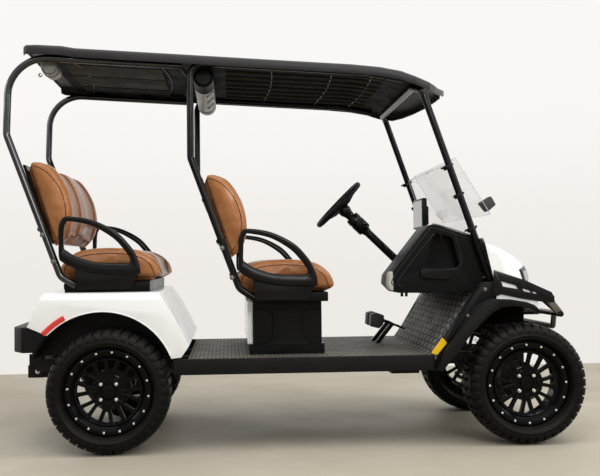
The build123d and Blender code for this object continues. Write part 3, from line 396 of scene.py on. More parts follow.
def settle_pair(piece, right_name, material, replaces=(), smooth=None):
    """Settles the piece, modelled on the right, and its twin on the left."""
    if smooth:
        shade(piece, smooth)
    twin = copied(piece, right_name.replace("right", "left"), MIRROR_Y)
    piece.name = right_name
    settle(piece, material, replaces)
    settle(twin, material)


MIRROR_Y = Matrix.Diagonal((1, -1, 1, 1))


def prism(name, base, rise):
    """Solid from the points of its flat base, drawn up by this step."""
    piece = begin(name, bpy.ops.mesh.primitive_circle_add, vertices=len(base), fill_type="NGON")
    for vertex, point in zip(piece.data.vertices, base):
        vertex.co = point
    edit(piece)
    bpy.ops.mesh.extrude_region_move(TRANSFORM_OT_translate={"value": rise})
    close_edit()
    return piece


def side_plate(name, points, y_low, y_high):
    """Plate with this side outline, (x, z) in metres, between two planes across the vehicle."""
    return prism(name, [(x, y_low, z) for x, z in points], (0, y_high - y_low, 0))


def moulding(name, points, span_y, edge, segments=2, x=0.0, z=0.0, corner=0, smooth=None):
    """Side plate with rounded edges and corners, all in millimetres, its outline taken from (x, z)."""
    outline = side_view(points, x, z)
    if corner:
        outline = rounded(outline, corner / 1000)
    piece = side_plate(name, outline, span_y[0] / 1000, span_y[1] / 1000)
    bevel(piece, edge / 1000, segments)
    if smooth:
        shade(piece, smooth)
    return piece


def rounded(points, radius, steps=4):
    """Outline with its corners rounded by arcs."""
    result = []
    count = len(points)
    for i, point in enumerate(points):
        here = Vector(point)
        back = Vector(points[i - 1]) - here
        ahead = Vector(points[(i + 1) % count]) - here
        cut = min(radius, back.length * 0.48, ahead.length * 0.48)
        start, end = here + back.normalized() * cut, here + ahead.normalized() * cut
        for step in range(steps + 1):
            t = step / steps
            result.append(tuple((1 - t) ** 2 * start + 2 * t * (1 - t) * here + t * t * end))
    return result


def spread(points, count):
    """This many points evenly round the closed line through the points."""
    line = [Vector(p) for p in points] + [Vector(points[0])]
    lengths = [(b - a).length for a, b in zip(line, line[1:])]
    total = sum(lengths)
    result = []
    place, along = 0, 0.0
    for i in range(count):
        target = total * i / count
        while place < len(lengths) - 1 and along + lengths[place] < target:
            along += lengths[place]
            place += 1
        share = (target - along) / lengths[place] if lengths[place] else 0
        result.append(tuple(line[place].lerp(line[place + 1], min(share, 1))))
    return result


def curved(points, steps=6, closed=True):
    """Smooth line through the points."""
    count = len(points)
    vectors = [Vector(p) for p in points]
    result = []
    for i in range(count if closed else count - 1):
        a = vectors[i - 1] if closed or i > 0 else vectors[i]
        b, c = vectors[i], vectors[(i + 1) % count]
        d = vectors[(i + 2) % count] if closed or i + 2 < count else c
        for step in range(steps):
            t = step / steps
            result.append(tuple(0.5 * (2 * b + (c - a) * t + (2 * a - 5 * b + 4 * c - d) * t * t
                                       + (3 * b - a - 3 * c + d) * t ** 3)))
    if not closed:
        result.append(tuple(vectors[-1]))
    return result


def panel(name, rows, solid=None, offset=-1):
    """Grid of faces through rows of equal length; solid is the thickness of its wall, if it has one."""
    tall, wide = len(rows), len(rows[0])
    piece = begin(name, bpy.ops.mesh.primitive_grid_add, x_subdivisions=wide - 1, y_subdivisions=tall - 1)
    vertices = piece.data.vertices
    if len(vertices) != tall * wide:
        raise ValueError(f"{name}: the grid has {len(vertices)} points, not {tall * wide}")
    for r, row in enumerate(rows):
        for c, point in enumerate(row):
            vertices[r * wide + c].co = point
    edit(piece)
    close_edit()
    if solid:
        apply_modifier(piece, "SOLIDIFY", thickness=solid, offset=offset)
    return piece


def spun(name, profile, steps=72):
    """Ring from a profile of (y, radius) points in millimetres turned about the Y axis."""
    piece = begin(name, bpy.ops.mesh.primitive_circle_add, vertices=len(profile), fill_type="NOTHING")
    for vertex, (y, radius) in zip(piece.data.vertices, metres(profile)):
        vertex.co = (0, y, radius)
    edit(piece)
    bpy.ops.mesh.spin(steps=steps, angle=FULL, center=(0, 0, 0), axis=(0, 1, 0))
    close_edit()
    return piece


def pipe(name, points, radius, closed=False, sides=3):
    """Round bar along the line through the points."""
    deselect()
    bpy.ops.curve.primitive_nurbs_path_add()
    piece = bpy.context.object
    piece.name = name
    curve = piece.data
    curve.splines.clear()
    line = curve.splines.new("POLY")
    line.points.add(len(points) - 1)
    for point, place in zip(line.points, points):
        point.co = (*place, 1)
    line.use_cyclic_u = closed
    curve.dimensions = "3D"
    curve.bevel_depth = radius
    curve.bevel_resolution = sides
    curve.use_fill_caps = True
    pick(piece)
    bpy.ops.object.convert(target="MESH")
    piece = bpy.context.object
    piece.data.name = name
    return piece


def round_bar(name, vertices, radius, depth, place, turn, edge, segments=2):
    """Short round bar at this place, along Z before its turn, with bevelled ends."""
    piece = begin(name, bpy.ops.mesh.primitive_cylinder_add, vertices=vertices, radius=radius, depth=depth,
                  location=place, rotation=turn)
    place_in_mesh(piece)
    bevel(piece, edge, segments)
    return piece


def hex_bolt(name, size, length):
    """Hexagon head with a washer, standing on y = 0 and facing -Y."""
    head = round_bar(name, 6, size, length, (0, -length / 2 - 0.001, 0), (QUARTER, 0, 0), size * 0.16)
    washer = round_bar("washer", 20, size * 1.35, 0.0024, (0, -0.0008, 0), (QUARTER, 0, 0), 0.0006, 1)
    return join(name, [head, washer])


def turned(direction):
    """Matrix that turns -Y to this direction."""
    return Vector((0, -1, 0)).rotation_difference(Vector(direction)).to_matrix().to_4x4()


def bolts(name, side_spots, y, size, length, material):
    """Bolt heads on both sides of the vehicle at these side-view spots, facing outwards."""
    model = hex_bolt(name + "_model", size, length)
    heads = [copied(model, name, Matrix.Translation((x, side * y, z)) @ turned((0, side, 0)))
             for side in (-1, 1) for x, z in side_view(side_spots, RX)]
    discard(model)
    settle_joined(name, heads, 30, material)


def ease(share):
    share = min(1.0, max(0.0, share))
    return share * share * (3 - 2 * share)


# ---- camera ----

CAMERA_PLACE = Vector((RX + 0.5596, -4.97741, 0.89760))
CAMERA_TURN = (0.0783070, 0.0242526, -0.0103004)    # yaw, pitch and roll, in radians
CAMERA_LENS = 55.686


def aim_camera():
    yaw, pitch, roll = CAMERA_TURN
    data = bpy.data.cameras.new("camera")
    data.sensor_fit = "HORIZONTAL"
    data.sensor_width = 36
    data.lens = CAMERA_LENS
    data.clip_end = 60
    camera = bpy.data.objects.new("camera", data)
    bpy.context.scene.collection.objects.link(camera)
    camera.matrix_world = (Matrix.Translation(CAMERA_PLACE) @ Matrix.Rotation(-yaw, 4, "Z")
                           @ Matrix.Rotation(QUARTER + pitch, 4, "X") @ Matrix.Rotation(roll, 4, "Z"))
    bpy.context.scene.camera = camera


# ---- floor and light ----
LAMP_COLOUR = (1.0, 0.995, 0.985)
FLOOR_LOW, FLOOR_HIGH = (-24, -24), (24, 2.72)
LAMPS = (   # name, place, aim, width, height, watts
    ("ceiling", (0.6, -1.6, 4.6), (0.3, -0.6, 0), 7.0, 4.2, 202),
    ("near_side", (1.4, -6.2, 3.4), (0.3, 0, 0.8), 2.6, 1.3, 114),
    ("nose_side", (6.0, -2.4, 3.2), (0.5, 0, 0.6), 2.5, 1.6, 72),
    ("tail_side", (-6.0, -1.2, 3.2), (0, 0, 0.8), 2.5, 1.6, 48),
    ("far_side", (0.6, 5.8, 4.0), (0, 0, 0.9), 4.0, 1.6, 75))


def lay_floor():
    """Pale concrete floor up to a far edge."""
    floor = begin("floor", bpy.ops.mesh.primitive_grid_add, x_subdivisions=8, y_subdivisions=8, size=1)
    for vertex in floor.data.vertices:
        for axis, (low, high) in enumerate(zip(FLOOR_LOW, FLOOR_HIGH)):
            vertex.co[axis] = low + (vertex.co[axis] + 0.5) * (high - low)
    floor.data.materials.append(CONCRETE)


def light_world():
    """Grey light from above, and a white wall for what the camera, gloss and glass see."""
    world = bpy.context.scene.world or bpy.data.worlds.new("world")
    bpy.context.scene.world = world
    world.use_nodes = True
    tree = world.node_tree
    tree.nodes.clear()
    path = add_node(tree, "LightPath").outputs
    height = add_node(tree, "SeparateXYZ", i0=add_node(tree, "TexCoord").outputs["Generated"]).outputs[2]
    sky = blend_colours(tree, span(tree, height, -0.25, 0.6), (0.10, 0.10, 0.098, 1), (0.56, 0.56, 0.56, 1))
    wall = blend_colours(tree, span(tree, height, -0.02, 0.16), paint(238, 234, 229), paint(250, 248, 245))
    mirrored = maths(tree, "MAXIMUM", path["Is Glossy Ray"], path["Is Transmission Ray"])
    seen = maths(tree, "MAXIMUM", path["Is Camera Ray"], mirrored)
    light, shown = (add_node(tree, "Background", Color=colour, Strength=1.0) for colour in (sky, wall))
    mixed = add_node(tree, "MixShader", i0=seen, i1=light.outputs[0], i2=shown.outputs[0])
    add_node(tree, "OutputWorld", Surface=mixed.outputs[0])


def hang_lamps():
    for name, place, aim, wide, tall, watts in LAMPS:
        data = bpy.data.lights.new(name, "AREA")
        data.shape = "RECTANGLE"
        data.size, data.size_y = wide, tall
        data.energy = watts
        data.color = LAMP_COLOUR
        lamp = bpy.data.objects.new(name, data)
        bpy.context.scene.collection.objects.link(lamp)
        lamp.location = place
        lamp.visible_glossy = name != "far_side"
        lamp.rotation_euler = (Vector(aim) - Vector(place)).to_track_quat("-Z", "Y").to_euler()


# ---- wheels ----
LIP = 0.078             # outer face of the rim's lip, from the wheel's middle plane
LIP_BOLT_CIRCLE = 0.188
NUT_CIRCLE = 0.0508
TREAD = 0.292           # outer radius of the tread
LUGS = 40
TRACK_HALF = 0.509
WHEEL_ENDS = (("rear", RX, 174.04), ("front", FX, 1.6))     # end, axle, angle of its first lip bolt


def wheel_point(degrees, radius, y):
    """Point about the wheel's axle; angle 0 is ahead of it and 90 above it."""
    angle = math.radians(degrees)
    return Vector((radius * math.cos(angle), y, radius * math.sin(angle)))


def spoke(side):
    """One of a pair of spokes that spread apart from the hub to the barrel."""
    edges = ([], [])
    for radius, degrees, half in (      # along the spoke: radius, angle from the pair's middle, half width
            (0.050, 5.5, 0.0080), (0.082, 7.6, 0.0092), (0.110, 9.2, 0.0090), (0.138, 10.6, 0.0096),
            (0.150, 11.2, 0.0125), (0.158, 11.25, 0.0155)):
        angle = side * math.radians(degrees)
        for edge, reach in zip(edges, (half, -half)):
            edge.append((radius * math.cos(angle) - reach * math.sin(angle),
                         radius * math.sin(angle) + reach * math.cos(angle)))
    piece = side_plate("spoke", edges[0] + edges[1][::-1], -0.058, -0.030)
    for vertex in piece.data.vertices:
        share = (math.hypot(vertex.co.x, vertex.co.z) - 0.04) / 0.13
        dish = 0.008 * math.sin(math.pi * min(1, max(0, share)))
        vertex.co.y += dish if vertex.co.y < -0.05 else 0.004
    bevel(piece, 0.0032, 3)
    return piece


def rim_model():
    """Rim about the Y axis with its outer face towards -Y: barrel, split spokes, hub and nut seats."""
    barrel = spun("barrel", [
        (-77, 200), (-78, 198), (-78, 177), (-76, 174), (-72, 172), (-68, 171.5), (-66, 169), (-56, 167.5),
        (-54, 165), (-44, 164), (-38, 166), (92, 168), (98, 170), (98, 200), (90, 200), (88, 178),
        (-64, 176), (-66, 202), (-75, 202)], 96)
    pair = join("spoke_pair", [spoke(-1), spoke(1)])
    pairs = [copied(pair, "spoke_pair", Matrix.Rotation(math.radians(45 * i), 4, "Y")) for i in range(1, 8)]
    seat = spun("spoke_seat", [
        (-50, 167.5), (-56, 158), (-53, 149), (-45, 145.5), (-34, 148), (-30, 167.5)], 96)
    web = spun("hub_web", [(-46, 1), (-46, 70), (-49, 78), (-47, 84), (-40, 86), (-32, 82), (-30, 1)], 64)
    hub = spun("hub", [
        (-56, 1), (-57, 20), (-55, 28), (-47, 30), (-46.5, 36), (-50, 40), (-51, 60), (-49, 66), (-40, 71),
        (-20, 72), (-18, 1)], 48)
    seats = [round_bar("nut_seat", 24, 0.0135, 0.004, wheel_point(45 + 90 * i, NUT_CIRCLE, -0.052),
                       (QUARTER, 0, 0), 0.001) for i in range(4)]
    rim = join("rim_model", [barrel, pair, *pairs, seat, web, hub, *seats])
    place_in_mesh(rim)
    shade(rim, 35)
    return rim


def wheel_bolts_model(phase):
    """Bright lip bolts and lug nuts of one wheel."""
    heads = []
    for name, size, length, count, first, radius, y in (
            ("lip_bolt", 0.0042, 0.0035, 16, phase, LIP_BOLT_CIRCLE, -LIP),
            ("lug_nut", 0.0064, 0.012, 4, 45, NUT_CIRCLE, -0.054)):
        model = hex_bolt(name, size, length)
        heads += [copied(model, name, Matrix.Translation(wheel_point(first + 360 / count * i, radius, y)))
                  for i in range(count)]
        discard(model)
    piece = join("wheel_bolts_model", heads)
    shade(piece, 30)
    return piece


def tread_block(name, side, outline, low, high):
    """Crowned tread block from a plan outline of (along, across) in millimetres."""
    piece = prism(name, [(x, side * y, low) for x, y in metres(outline)], (0, 0, high - low))
    for vertex in piece.data.vertices:
        if vertex.co.z > (low + high) / 2:
            vertex.co.z -= 0.0022 * (vertex.co.y / 0.06) ** 2
    bevel(piece, 0.0014, 2)
    return piece


def shoulder_lug(side, start, end, slant):
    """Lug that turns over the shoulder onto the sidewall."""
    section = metres([(62, 276), (62, 288.5), (80, 285.5), (94, 279.5), (105, 269), (111.8, 257),
                      (112.2, 248), (108.5, 244), (98, 250)])
    piece = prism("shoulder_lug", [(start, y * side, z) for y, z in section], (end - start, 0, 0))
    for vertex in piece.data.vertices:
        across = (abs(vertex.co.y) - 0.062) / 0.05
        vertex.co.x += slant * across
        if abs(vertex.co.y) > 0.1 and vertex.co.z < 0.262:
            middle_x = (start + end) / 2 + slant
            vertex.co.x = middle_x + (vertex.co.x - middle_x) * 0.82
    bevel(piece, 0.0022, 2)
    return piece


def tyre_model():
    """All-terrain tyre about the Y axis: carcass with sidewall rings, shoulder lugs and centre blocks."""
    carcass = spun("carcass", [
        (-66, 177.5), (-65.5, 203), (-72, 207), (-84, 209), (-96, 213.5), (-104, 216.5), (-105.5, 219.5),
        (-107.5, 220.5), (-108.5, 224), (-110.5, 226), (-112.5, 232), (-113.7, 234.5), (-112.7, 237),
        (-112, 244), (-110.5, 252), (-108, 259), (-99, 267), (-86, 274), (-60, 279), (0, 281.5), (60, 279),
        (86, 274), (99, 267), (108, 262), (112, 246), (113, 232), (108, 222), (94, 213), (88, 206),
        (88, 177.5), (75, 177.5), (85, 205), (95, 225), (98, 245), (85, 262), (0, 268), (-85, 262),
        (-98, 245), (-90, 225), (-55, 200), (-52, 177.5)], 108)
    blocks = []
    for side in (-1, 1):
        blocks.append(shoulder_lug(side, -0.0195, 0.0185, 0.005 * side))
        blocks.append(tread_block("inner_block", side, [
            (-17, 30), (-11, 56), (4, 58), (18.5, 53), (17, 36), (6, 31), (2, 24), (-11, 24)],
            0.279, 0.2905))
        lean = 5 * side
        blocks.append(tread_block("centre_block", side, [
            (lean - 14, 3), (lean - 18, 18), (-4, 20.5), (11, 20), (lean + 19, 12), (lean + 12, 2)],
            0.2805, 0.2918))
    segment = join("tread_segment", blocks)
    pitches = [copied(segment, "tread_segment") for _ in range(LUGS)]
    discard(segment)
    for i, piece in enumerate(pitches):     # laid out flat until here, x along the tread and z its height
        for vertex in piece.data.vertices:
            angle, radius = vertex.co.x / TREAD, vertex.co.z
            vertex.co.x, vertex.co.z = radius * math.sin(angle), radius * math.cos(angle)
        piece.data.transform(Matrix.Rotation(FULL * i / LUGS, 4, "Y"))
    tyre = join("tyre_model", [carcass, *pitches])
    shade(tyre, 32)
    return tyre


def make_wheels():
    rim, tyre = rim_model(), tyre_model()
    for end, centre_x, phase in WHEEL_ENDS:
        fittings = wheel_bolts_model(phase)
        spoke_turn = Matrix.Rotation(-math.radians(phase), 4, "Y")
        for side_name, side in (("right", -1), ("left", 1)):
            place = Matrix.Translation((centre_x, side * TRACK_HALF, WHEEL_Z))
            place = place @ Matrix.Rotation(math.pi if side > 0 else 0, 4, "Z")
            name = f"{end}_{side_name}"
            for model, label, matrix, material, slot, stands_for in (
                    (rim, "spoked_rim", place @ spoke_turn, RIM_GLOSS, "gloss_black", [name + "_rim"]),
                    (tyre, "treaded_tyre", place, TYRE_RUBBER, "tyre_rubber", [name + "_tyre"]),
                    (fittings, "wheel_bolts", place, BRIGHT_STEEL, "black_steel", [])):
                piece = copied(model, f"{name}_{label}", matrix)
                settle(piece, material, stands_for, name + "_wheel")
        discard(fittings)
    discard(rim, tyre)


# ---- seats ----
SEAT_PLACES = {"rear": (RX - 0.230, 0.808), "front": (RX - 0.230 + 0.840, 0.744)}
CUSHION_SIDE = metres([
    (0, 20), (-4, 56), (10, 92), (50, 124), (100, 141), (160, 150), (230, 153), (320, 146), (386, 128),
    (428, 98), (452, 56), (462, 14), (448, 0), (300, 0), (120, 0), (16, 1)])
BACK_SIDE = metres([
    (-38, 176), (-58, 226), (-98, 340), (-140, 458), (-166, 548), (-158, 568), (-130, 576), (-84, 558),
    (-40, 524), (4, 466), (30, 400), (40, 340), (36, 290), (18, 236), (-10, 192), (-26, 176)])
CUSHION_HALF, BACK_HALF = 0.488, 0.470
INSERT = (0.125, 0.375)     # padded panels sewn between the bolsters, across the vehicle
CHANNELS = 6
FOAM_PRESSURE, FOAM_CAP = 4.5, 0.024
CLOTH_FRAMES = 20
VOXEL = 0.0075
PAD_LIFT = 0.0008           # pads stand this much above their places


def swell(piece):
    """Fills the cover: cloth under pressure, no point moving farther than the cap."""
    rest = [v.co.copy() for v in piece.data.vertices]
    pick(piece)
    cloth = piece.modifiers.new("Cloth", "CLOTH")
    cloth.settings.quality = 5
    cloth.settings.use_pressure = True
    cloth.settings.uniform_pressure_force = FOAM_PRESSURE
    cloth.settings.tension_stiffness = cloth.settings.compression_stiffness = 12
    cloth.settings.bending_stiffness = 1.5
    cloth.settings.effector_weights.gravity = 0
    cloth.point_cache.frame_start, cloth.point_cache.frame_end = 1, CLOTH_FRAMES
    scene = bpy.context.scene
    for step in range(1, CLOTH_FRAMES + 1):
        scene.frame_set(step)
    shown = piece.evaluated_get(bpy.context.evaluated_depsgraph_get())
    moved = [v.co.copy() for v in shown.data.vertices]
    bpy.ops.object.modifier_apply(modifier=cloth.name)
    for vertex, before, after in zip(piece.data.vertices, rest, moved):
        step = after - before
        if step.length > FOAM_CAP:
            step = step.normalized() * FOAM_CAP
        vertex.co = before + step
    scene.frame_set(1)


def inset_outline(points, distance):
    """Outline drawn in towards its own inside by this distance."""
    result = []
    for i, here in enumerate(points):
        along = (Vector(points[(i + 1) % len(points)]) - Vector(points[i - 1])).normalized()
        result.append(tuple(Vector(here) + Vector((along.y, -along.x)) * distance))
    return result


def fill_box(piece, outline, half):
    """Stretches the pad back to the outline's own length and height and to its full width."""
    spans = [(min(p[i] for p in outline), max(p[i] for p in outline)) for i in (0, 1)]
    spans.insert(1, (-half, half))
    for axis, (low, high) in enumerate(spans):
        values = [v.co[axis] for v in piece.data.vertices]
        here, there = min(values), max(values)
        for vertex in piece.data.vertices:
            vertex.co[axis] = low + (vertex.co[axis] - here) * (high - low) / (there - here)


def bell(distance, width):
    return math.exp(-(distance / width) ** 2)


def sew_panels(piece, top):
    """Sinks two sewn panels and their channels into the faces that top picks, and tufts their borders."""
    inner, outer = INSERT
    width = (outer - inner) / CHANNELS
    normals = [v.normal.copy() for v in piece.data.vertices]
    for vertex, normal in zip(piece.data.vertices, normals):
        facing = top(vertex.co, normal)
        if facing <= 0:
            continue
        y = abs(vertex.co.y)
        border = ease((y - inner + 0.012) / 0.024) * ease((outer + 0.012 - y) / 0.024)
        crease = max(bell(y - inner, 0.004), bell(y - outer, 0.004))
        groove = 0.0
        if inner < y < outer:
            across = ((y - inner) / width) % 1.0
            groove = bell(min(across, 1 - across) * width, 0.005)
        hump = 0.007 * bell(y - (outer + CUSHION_HALF) / 2, 0.045) + 0.006 * bell(y, 0.075)
        vertex.co -= normal * (0.009 * border + 0.004 * crease + 0.0035 * groove * border - hump) * facing
    piece.data.update()


def cushion_top(point, normal):
    """1 on the top and nose of the cushion, 0 on its sides and bottom."""
    up = max(normal.z, normal.x if point.x > 0.3 else 0)
    return ease((up - 0.35) / 0.4) * ease((point.x - 0.012) / 0.06) * ease((point.z - 0.012) / 0.03)


def back_front(point, normal):
    """1 on the front of the seat back."""
    ahead = normal.x * 0.93 + normal.z * 0.36
    return ease((ahead - 0.2) / 0.5) * ease((point.z - 0.185) / 0.06) * ease((0.575 - point.z) / 0.03)


def pad_model(name, outline, half, top):
    """Foam pad under its cover, in its seat's own frame; top tells which faces carry the sewn panels."""
    shrink = 0.016
    smooth_side = curved(outline, 4)
    piece = side_plate(name, inset_outline(smooth_side, shrink), -half + shrink, half - shrink)
    bevel(piece, 0.022, 4, 50)
    apply_modifier(piece, "REMESH", mode="VOXEL", voxel_size=VOXEL, use_smooth_shade=True)
    swell(piece)
    apply_modifier(piece, "SMOOTH", factor=0.6, iterations=16)
    fill_box(piece, smooth_side, half)
    sew_panels(piece, top)
    apply_modifier(piece, "SUBSURF", levels=1, render_levels=1)
    shade(piece, 180)
    return piece


def piping_model(name, pad, outline):
    """Piped seams on both sides of the pad, just inside its outline."""
    tree = BVHTree.FromPolygons([v.co for v in pad.data.vertices], [p.vertices for p in pad.data.polygons])
    seams = []
    for side in (-1, 1):
        hits = [tree.ray_cast(Vector((x, side * 0.8, z)), Vector((0, -side, 0)))[0]
                for x, z in inset_outline(curved(outline, 6), 0.020)]
        seams.append(pipe("seam", spread([tuple(hit) for hit in hits if hit], 120), 0.0021, True, 2))
    piping = join(name, seams)
    shade(piping, 180)
    return piping


def make_seats():
    for part, outline, half, top in (("cushion", CUSHION_SIDE, CUSHION_HALF, cushion_top),
                                     ("back", BACK_SIDE, BACK_HALF, back_front)):
        model = pad_model(part + "_model", outline, half, top)
        seams = piping_model(part + "_model_piping", model, outline)
        for end, (x, z) in SEAT_PLACES.items():
            place = Matrix.Translation((x, 0, z + PAD_LIFT))
            node, body = f"{end}_seat_{part}", "vehicle"
            pad = copied(model, f"{end}_leather_{part}", place)
            if part == "cushion":
                body = node
                for vertex in pad.data.vertices:
                    vertex.co.z = max(vertex.co.z, z + PAD_LIFT)
            settle(pad, LEATHER, [node], body)
            settle(copied(seams, f"{end}_{part}_piping", place), PIPING, [], body)
        discard(model, seams)


ARM_LOOP = (    # outer and inner edge of the loop, ahead of and above the seat's rear lower corner
    ((3, 116), (26, 160)), ((2, 190), (26, 205)), ((3, 258), (29, 255)), ((17, 294), (37, 276)),
    ((48, 308), (54, 284)), ((157, 291), (155, 262)), ((266, 237), (247, 209)), ((330, 172), (297, 158)),
    ((364, 116), (328, 114)), ((380, 52), (331, 96)), ((368, 32), (316, 87)), ((280, 32), (250, 88)),
    ((191, 38), (160, 95)), ((83, 60), (83, 120)), ((18, 93), (40, 146)))
ARM_SECTIONS = 16       # points round the loop's cross-section
ARM_Y, ARM_LEAN, ARM_HALF = -0.545, 0.010, 0.018        # middle plane, outward lean, half thickness


def make_armrests():
    outer, inner = (curved(metres([pair[i] for pair in ARM_LOOP]), 6) for i in (0, 1))
    for end, (x, z) in SEAT_PLACES.items():
        rows = []
        for a, b in zip(outer + outer[:1], inner + inner[:1]):
            a, b = Vector(a), Vector(b)
            centre, reach = (a + b) / 2, (a - b) / 2
            row = []
            for step in range(ARM_SECTIONS + 1):
                angle = FULL * step / ARM_SECTIONS
                u, v = (math.copysign(abs(w) ** 0.6, w) for w in (math.cos(angle), math.sin(angle)))
                point = centre + reach * u
                lean = ARM_LEAN * ease((point.y - 0.05) / 0.25)
                row.append((x + point.x, ARM_Y - lean - ARM_HALF * v - 0.003 * (u > 0), z + point.y))
            rows.append(row)
        loop = panel("armrest_loop", rows)
        foot = moulding("armrest_foot", [(80, -36), (330, -36), (372, 36), (200, 44), (70, 70)],
                        (-540, -503), 6, 3, x, z, corner=14)
        settle_pair(join("armrest", [loop, foot]), f"{end}_right_armrest", ARM_PLASTIC,
                    [f"{end}_armrests"], 40)


# ---- roof ----
ROOF_STATIONS = metres([    # ahead of the rear axle, side height, half width, middle rise, edge depth
    (-398, 1912, 500, 0, 26), (-393, 1924.5, 528, 2, 40), (-378, 1928, 548, 4, 46),
    (-330, 1927, 559, 8, 47), (-215, 1922, 560, 9, 46), (-150, 1911.8, 560, 9, 46),
    (343, 1886.5, 560, 10, 46), (751, 1865, 560, 11, 46), (1164, 1844, 560, 11, 46),
    (1302, 1832, 560, 19, 46), (1407, 1813, 560, 27, 45), (1477, 1789, 556, 44, 44),
    (1553, 1769, 512, 57, 42), (1600, 1769, 425, 53, 40), (1640, 1774, 322, 44, 38),
    (1690, 1787, 202, 26, 34), (1724, 1803, 95, 10, 30), (1732, 1806, 30, 2, 26)])
CANOPY_EDGE, CANOPY_WALL = 0.016, 0.006         # radius of the upper edge, thickness
LINER_BELOW = 0.021     # the liner's underside below the roof's side height, where the speakers hang


def roof_station(x):
    """Side height, half width, rise and edge depth at x, on straight lines between the stations."""
    for low, high in zip(ROOF_STATIONS, ROOF_STATIONS[1:]):
        if x <= high[0]:
            share = (x - low[0]) / (high[0] - low[0])
            return [a + (b - a) * share for a, b in zip(low[1:], high[1:])]
    return list(ROOF_STATIONS[-1][1:])


def face_outwards(piece):
    edit(piece)
    bpy.ops.mesh.normals_make_consistent(inside=False)
    bpy.ops.object.mode_set(mode="OBJECT")


def make_canopy():
    line = curved([(station[0], i) for i, station in enumerate(ROOF_STATIONS)], 4, closed=False)
    rows = []
    for x, _ in line:
        x = min(max(x, ROOF_STATIONS[0][0]), ROOF_STATIONS[-1][0])
        side, half, rise, depth = roof_station(x)
        edge = min(CANOPY_EDGE, half * 0.5)
        row = [(-half + 0.002, side - depth), (-half, side - depth + 0.003), (-half, side - edge)]
        for step in range(1, 5):
            angle = QUARTER * step / 4
            row.append((-half + edge * (1 - math.cos(angle)), side - edge + edge * math.sin(angle)))
        inner = half - edge
        for step in range(1, 10):
            share = step / 10
            row.append((-inner + inner * share, side + rise * math.sin(QUARTER * share) ** 0.9))
        row += [(0, side + rise)] + [(-y, z) for y, z in reversed(row)]
        rows.append([(RX + x, y, z) for y, z in row])
    canopy = panel("roof_canopy", rows)
    apply_modifier(canopy, "SOLIDIFY", thickness=CANOPY_WALL, offset=-1, use_even_offset=False)
    face_outwards(canopy)
    settle_joined("roof_canopy", [canopy], 42, ROOF_SATIN, ["roof"])


def liner_height(x):
    """Underside of the roof liner at this distance ahead of the rear axle."""
    return roof_station(x)[0] - (0.0235 if x > -0.2 else 0.032)


def spaced(start, step, count):
    return [start + step * i for i in range(count)]


def make_liner():
    """Long ribs moulded under the front half of the liner, panels behind them and cross seams over all."""
    ribs, edges, seams = [], [], []
    for y in spaced(-0.415, 0.1186, 8):
        line = [(RX + x, y * (1 - 0.10 * ease((x - 0.9) / 0.5)), liner_height(x) + 0.001)
                for x in spaced(0.56, 0.04, 21)]
        ribs.append(pipe("liner_rib", line, 0.009))
    for low, high, group in ((-0.455, -0.30, edges), (-0.28, -0.01, ribs), (0.01, 0.28, ribs),
                             (0.30, 0.455, edges)):
        rows = []
        for y in spaced(low, (high - low) / 6, 7):
            sag = 0.002 + 0.004 * math.sin(math.pi * (y - low) / (high - low))
            rows.append([(RX + x, y, liner_height(x) - sag) for x in spaced(-0.24, 0.04, 13)])
        group.append(panel("liner_panel", rows, 0.003, 0))
    for x in (-0.16, 0.27, 0.36, 0.80, 1.10, 1.30):
        bow = 0.05 if x < 0.4 else 0.02
        line = [(RX + x + bow * math.cos(y / 0.49 * QUARTER) - bow, y, liner_height(x) - 0.0015)
                for y in spaced(-0.48, 0.08, 13)]
        seams.append(pipe("liner_seam", line, 0.003, sides=1))
    settle_joined("liner_edge_panels", edges, 60, LINER_PLASTIC)
    # ribs and middle panels in grey: painted highlight on the ribs, painted sheen on the panels
    settle_joined("liner_ribs", ribs, 60, LINER_PAINTED_SHEEN)
    settle_joined("liner_seams", seams, 60, BLACK_PLASTIC)


# ---- bodywork ----
SOFTENED = (    # CAD node, piece, edge radius or 0 for bends only, segments, finish, slot
    ("rear_body", "rear_body_moulding", 0.007, 3, WHITE_BODY, "white"),
    ("rear_bumper", "rear_bumper_moulding", 0.012, 4, FLARE_PLASTIC, "black_plastic"),
    ("rocker_panels", "rocker_sills", 0.006, 3, ROCKER_PLASTIC, "black_plastic"),
    ("fender_flares", "front_flares", 0.006, 3, FLARE_PLASTIC, "black_plastic"),
    ("brush_guard", "front_guard", 0.0015, 2, BLACK_STEEL, "black_steel"),
    ("front_struts", "front_roof_struts", 0, 0, BLACK_STEEL, "black_steel"),
    ("middle_struts", "middle_roof_struts", 0, 0, BLACK_STEEL, "black_steel"),
    ("rear_struts", "rear_roof_struts", 0, 0, STRUT_GLOSS, "black_steel"),
    ("touch_screen", "display_housing", 0.004, 3, BLACK_PLASTIC, "black_plastic"),
    ("dashboard", "dashboard_moulding", 0.007, 3, DASH_PLASTIC, "black_plastic"))


def make_body():
    """Smooth copies of CAD nodes, their loose faces merged and their edges rounded."""
    for node, name, width, segments, material, slot in SOFTENED:
        piece = copied(NODES[node], name)
        piece.parent = None
        for key in list(piece.keys()):
            del piece[key]
        edit(piece)
        bpy.ops.mesh.remove_doubles(threshold=0.00005)
        if width:
            bpy.ops.mesh.dissolve_limited(angle_limit=math.radians(2))
        bpy.ops.object.mode_set(mode="OBJECT")
        if width:
            bevel(piece, width, segments, 28)
        shade(piece, 50 if width else 40)
        settle(piece, material, [node])


ARCH = Vector((RX - 0.030, 0.322))      # middle of the rear wheel arch


def arch_line(radius, start, end, count):
    """Side-view points on an arc about the arch's middle, in count steps from start to end degrees."""
    angles = [math.radians(start + (end - start) * i / count) for i in range(count + 1)]
    return [(ARCH.x + radius * math.cos(a), ARCH.y + radius * math.sin(a)) for a in angles]


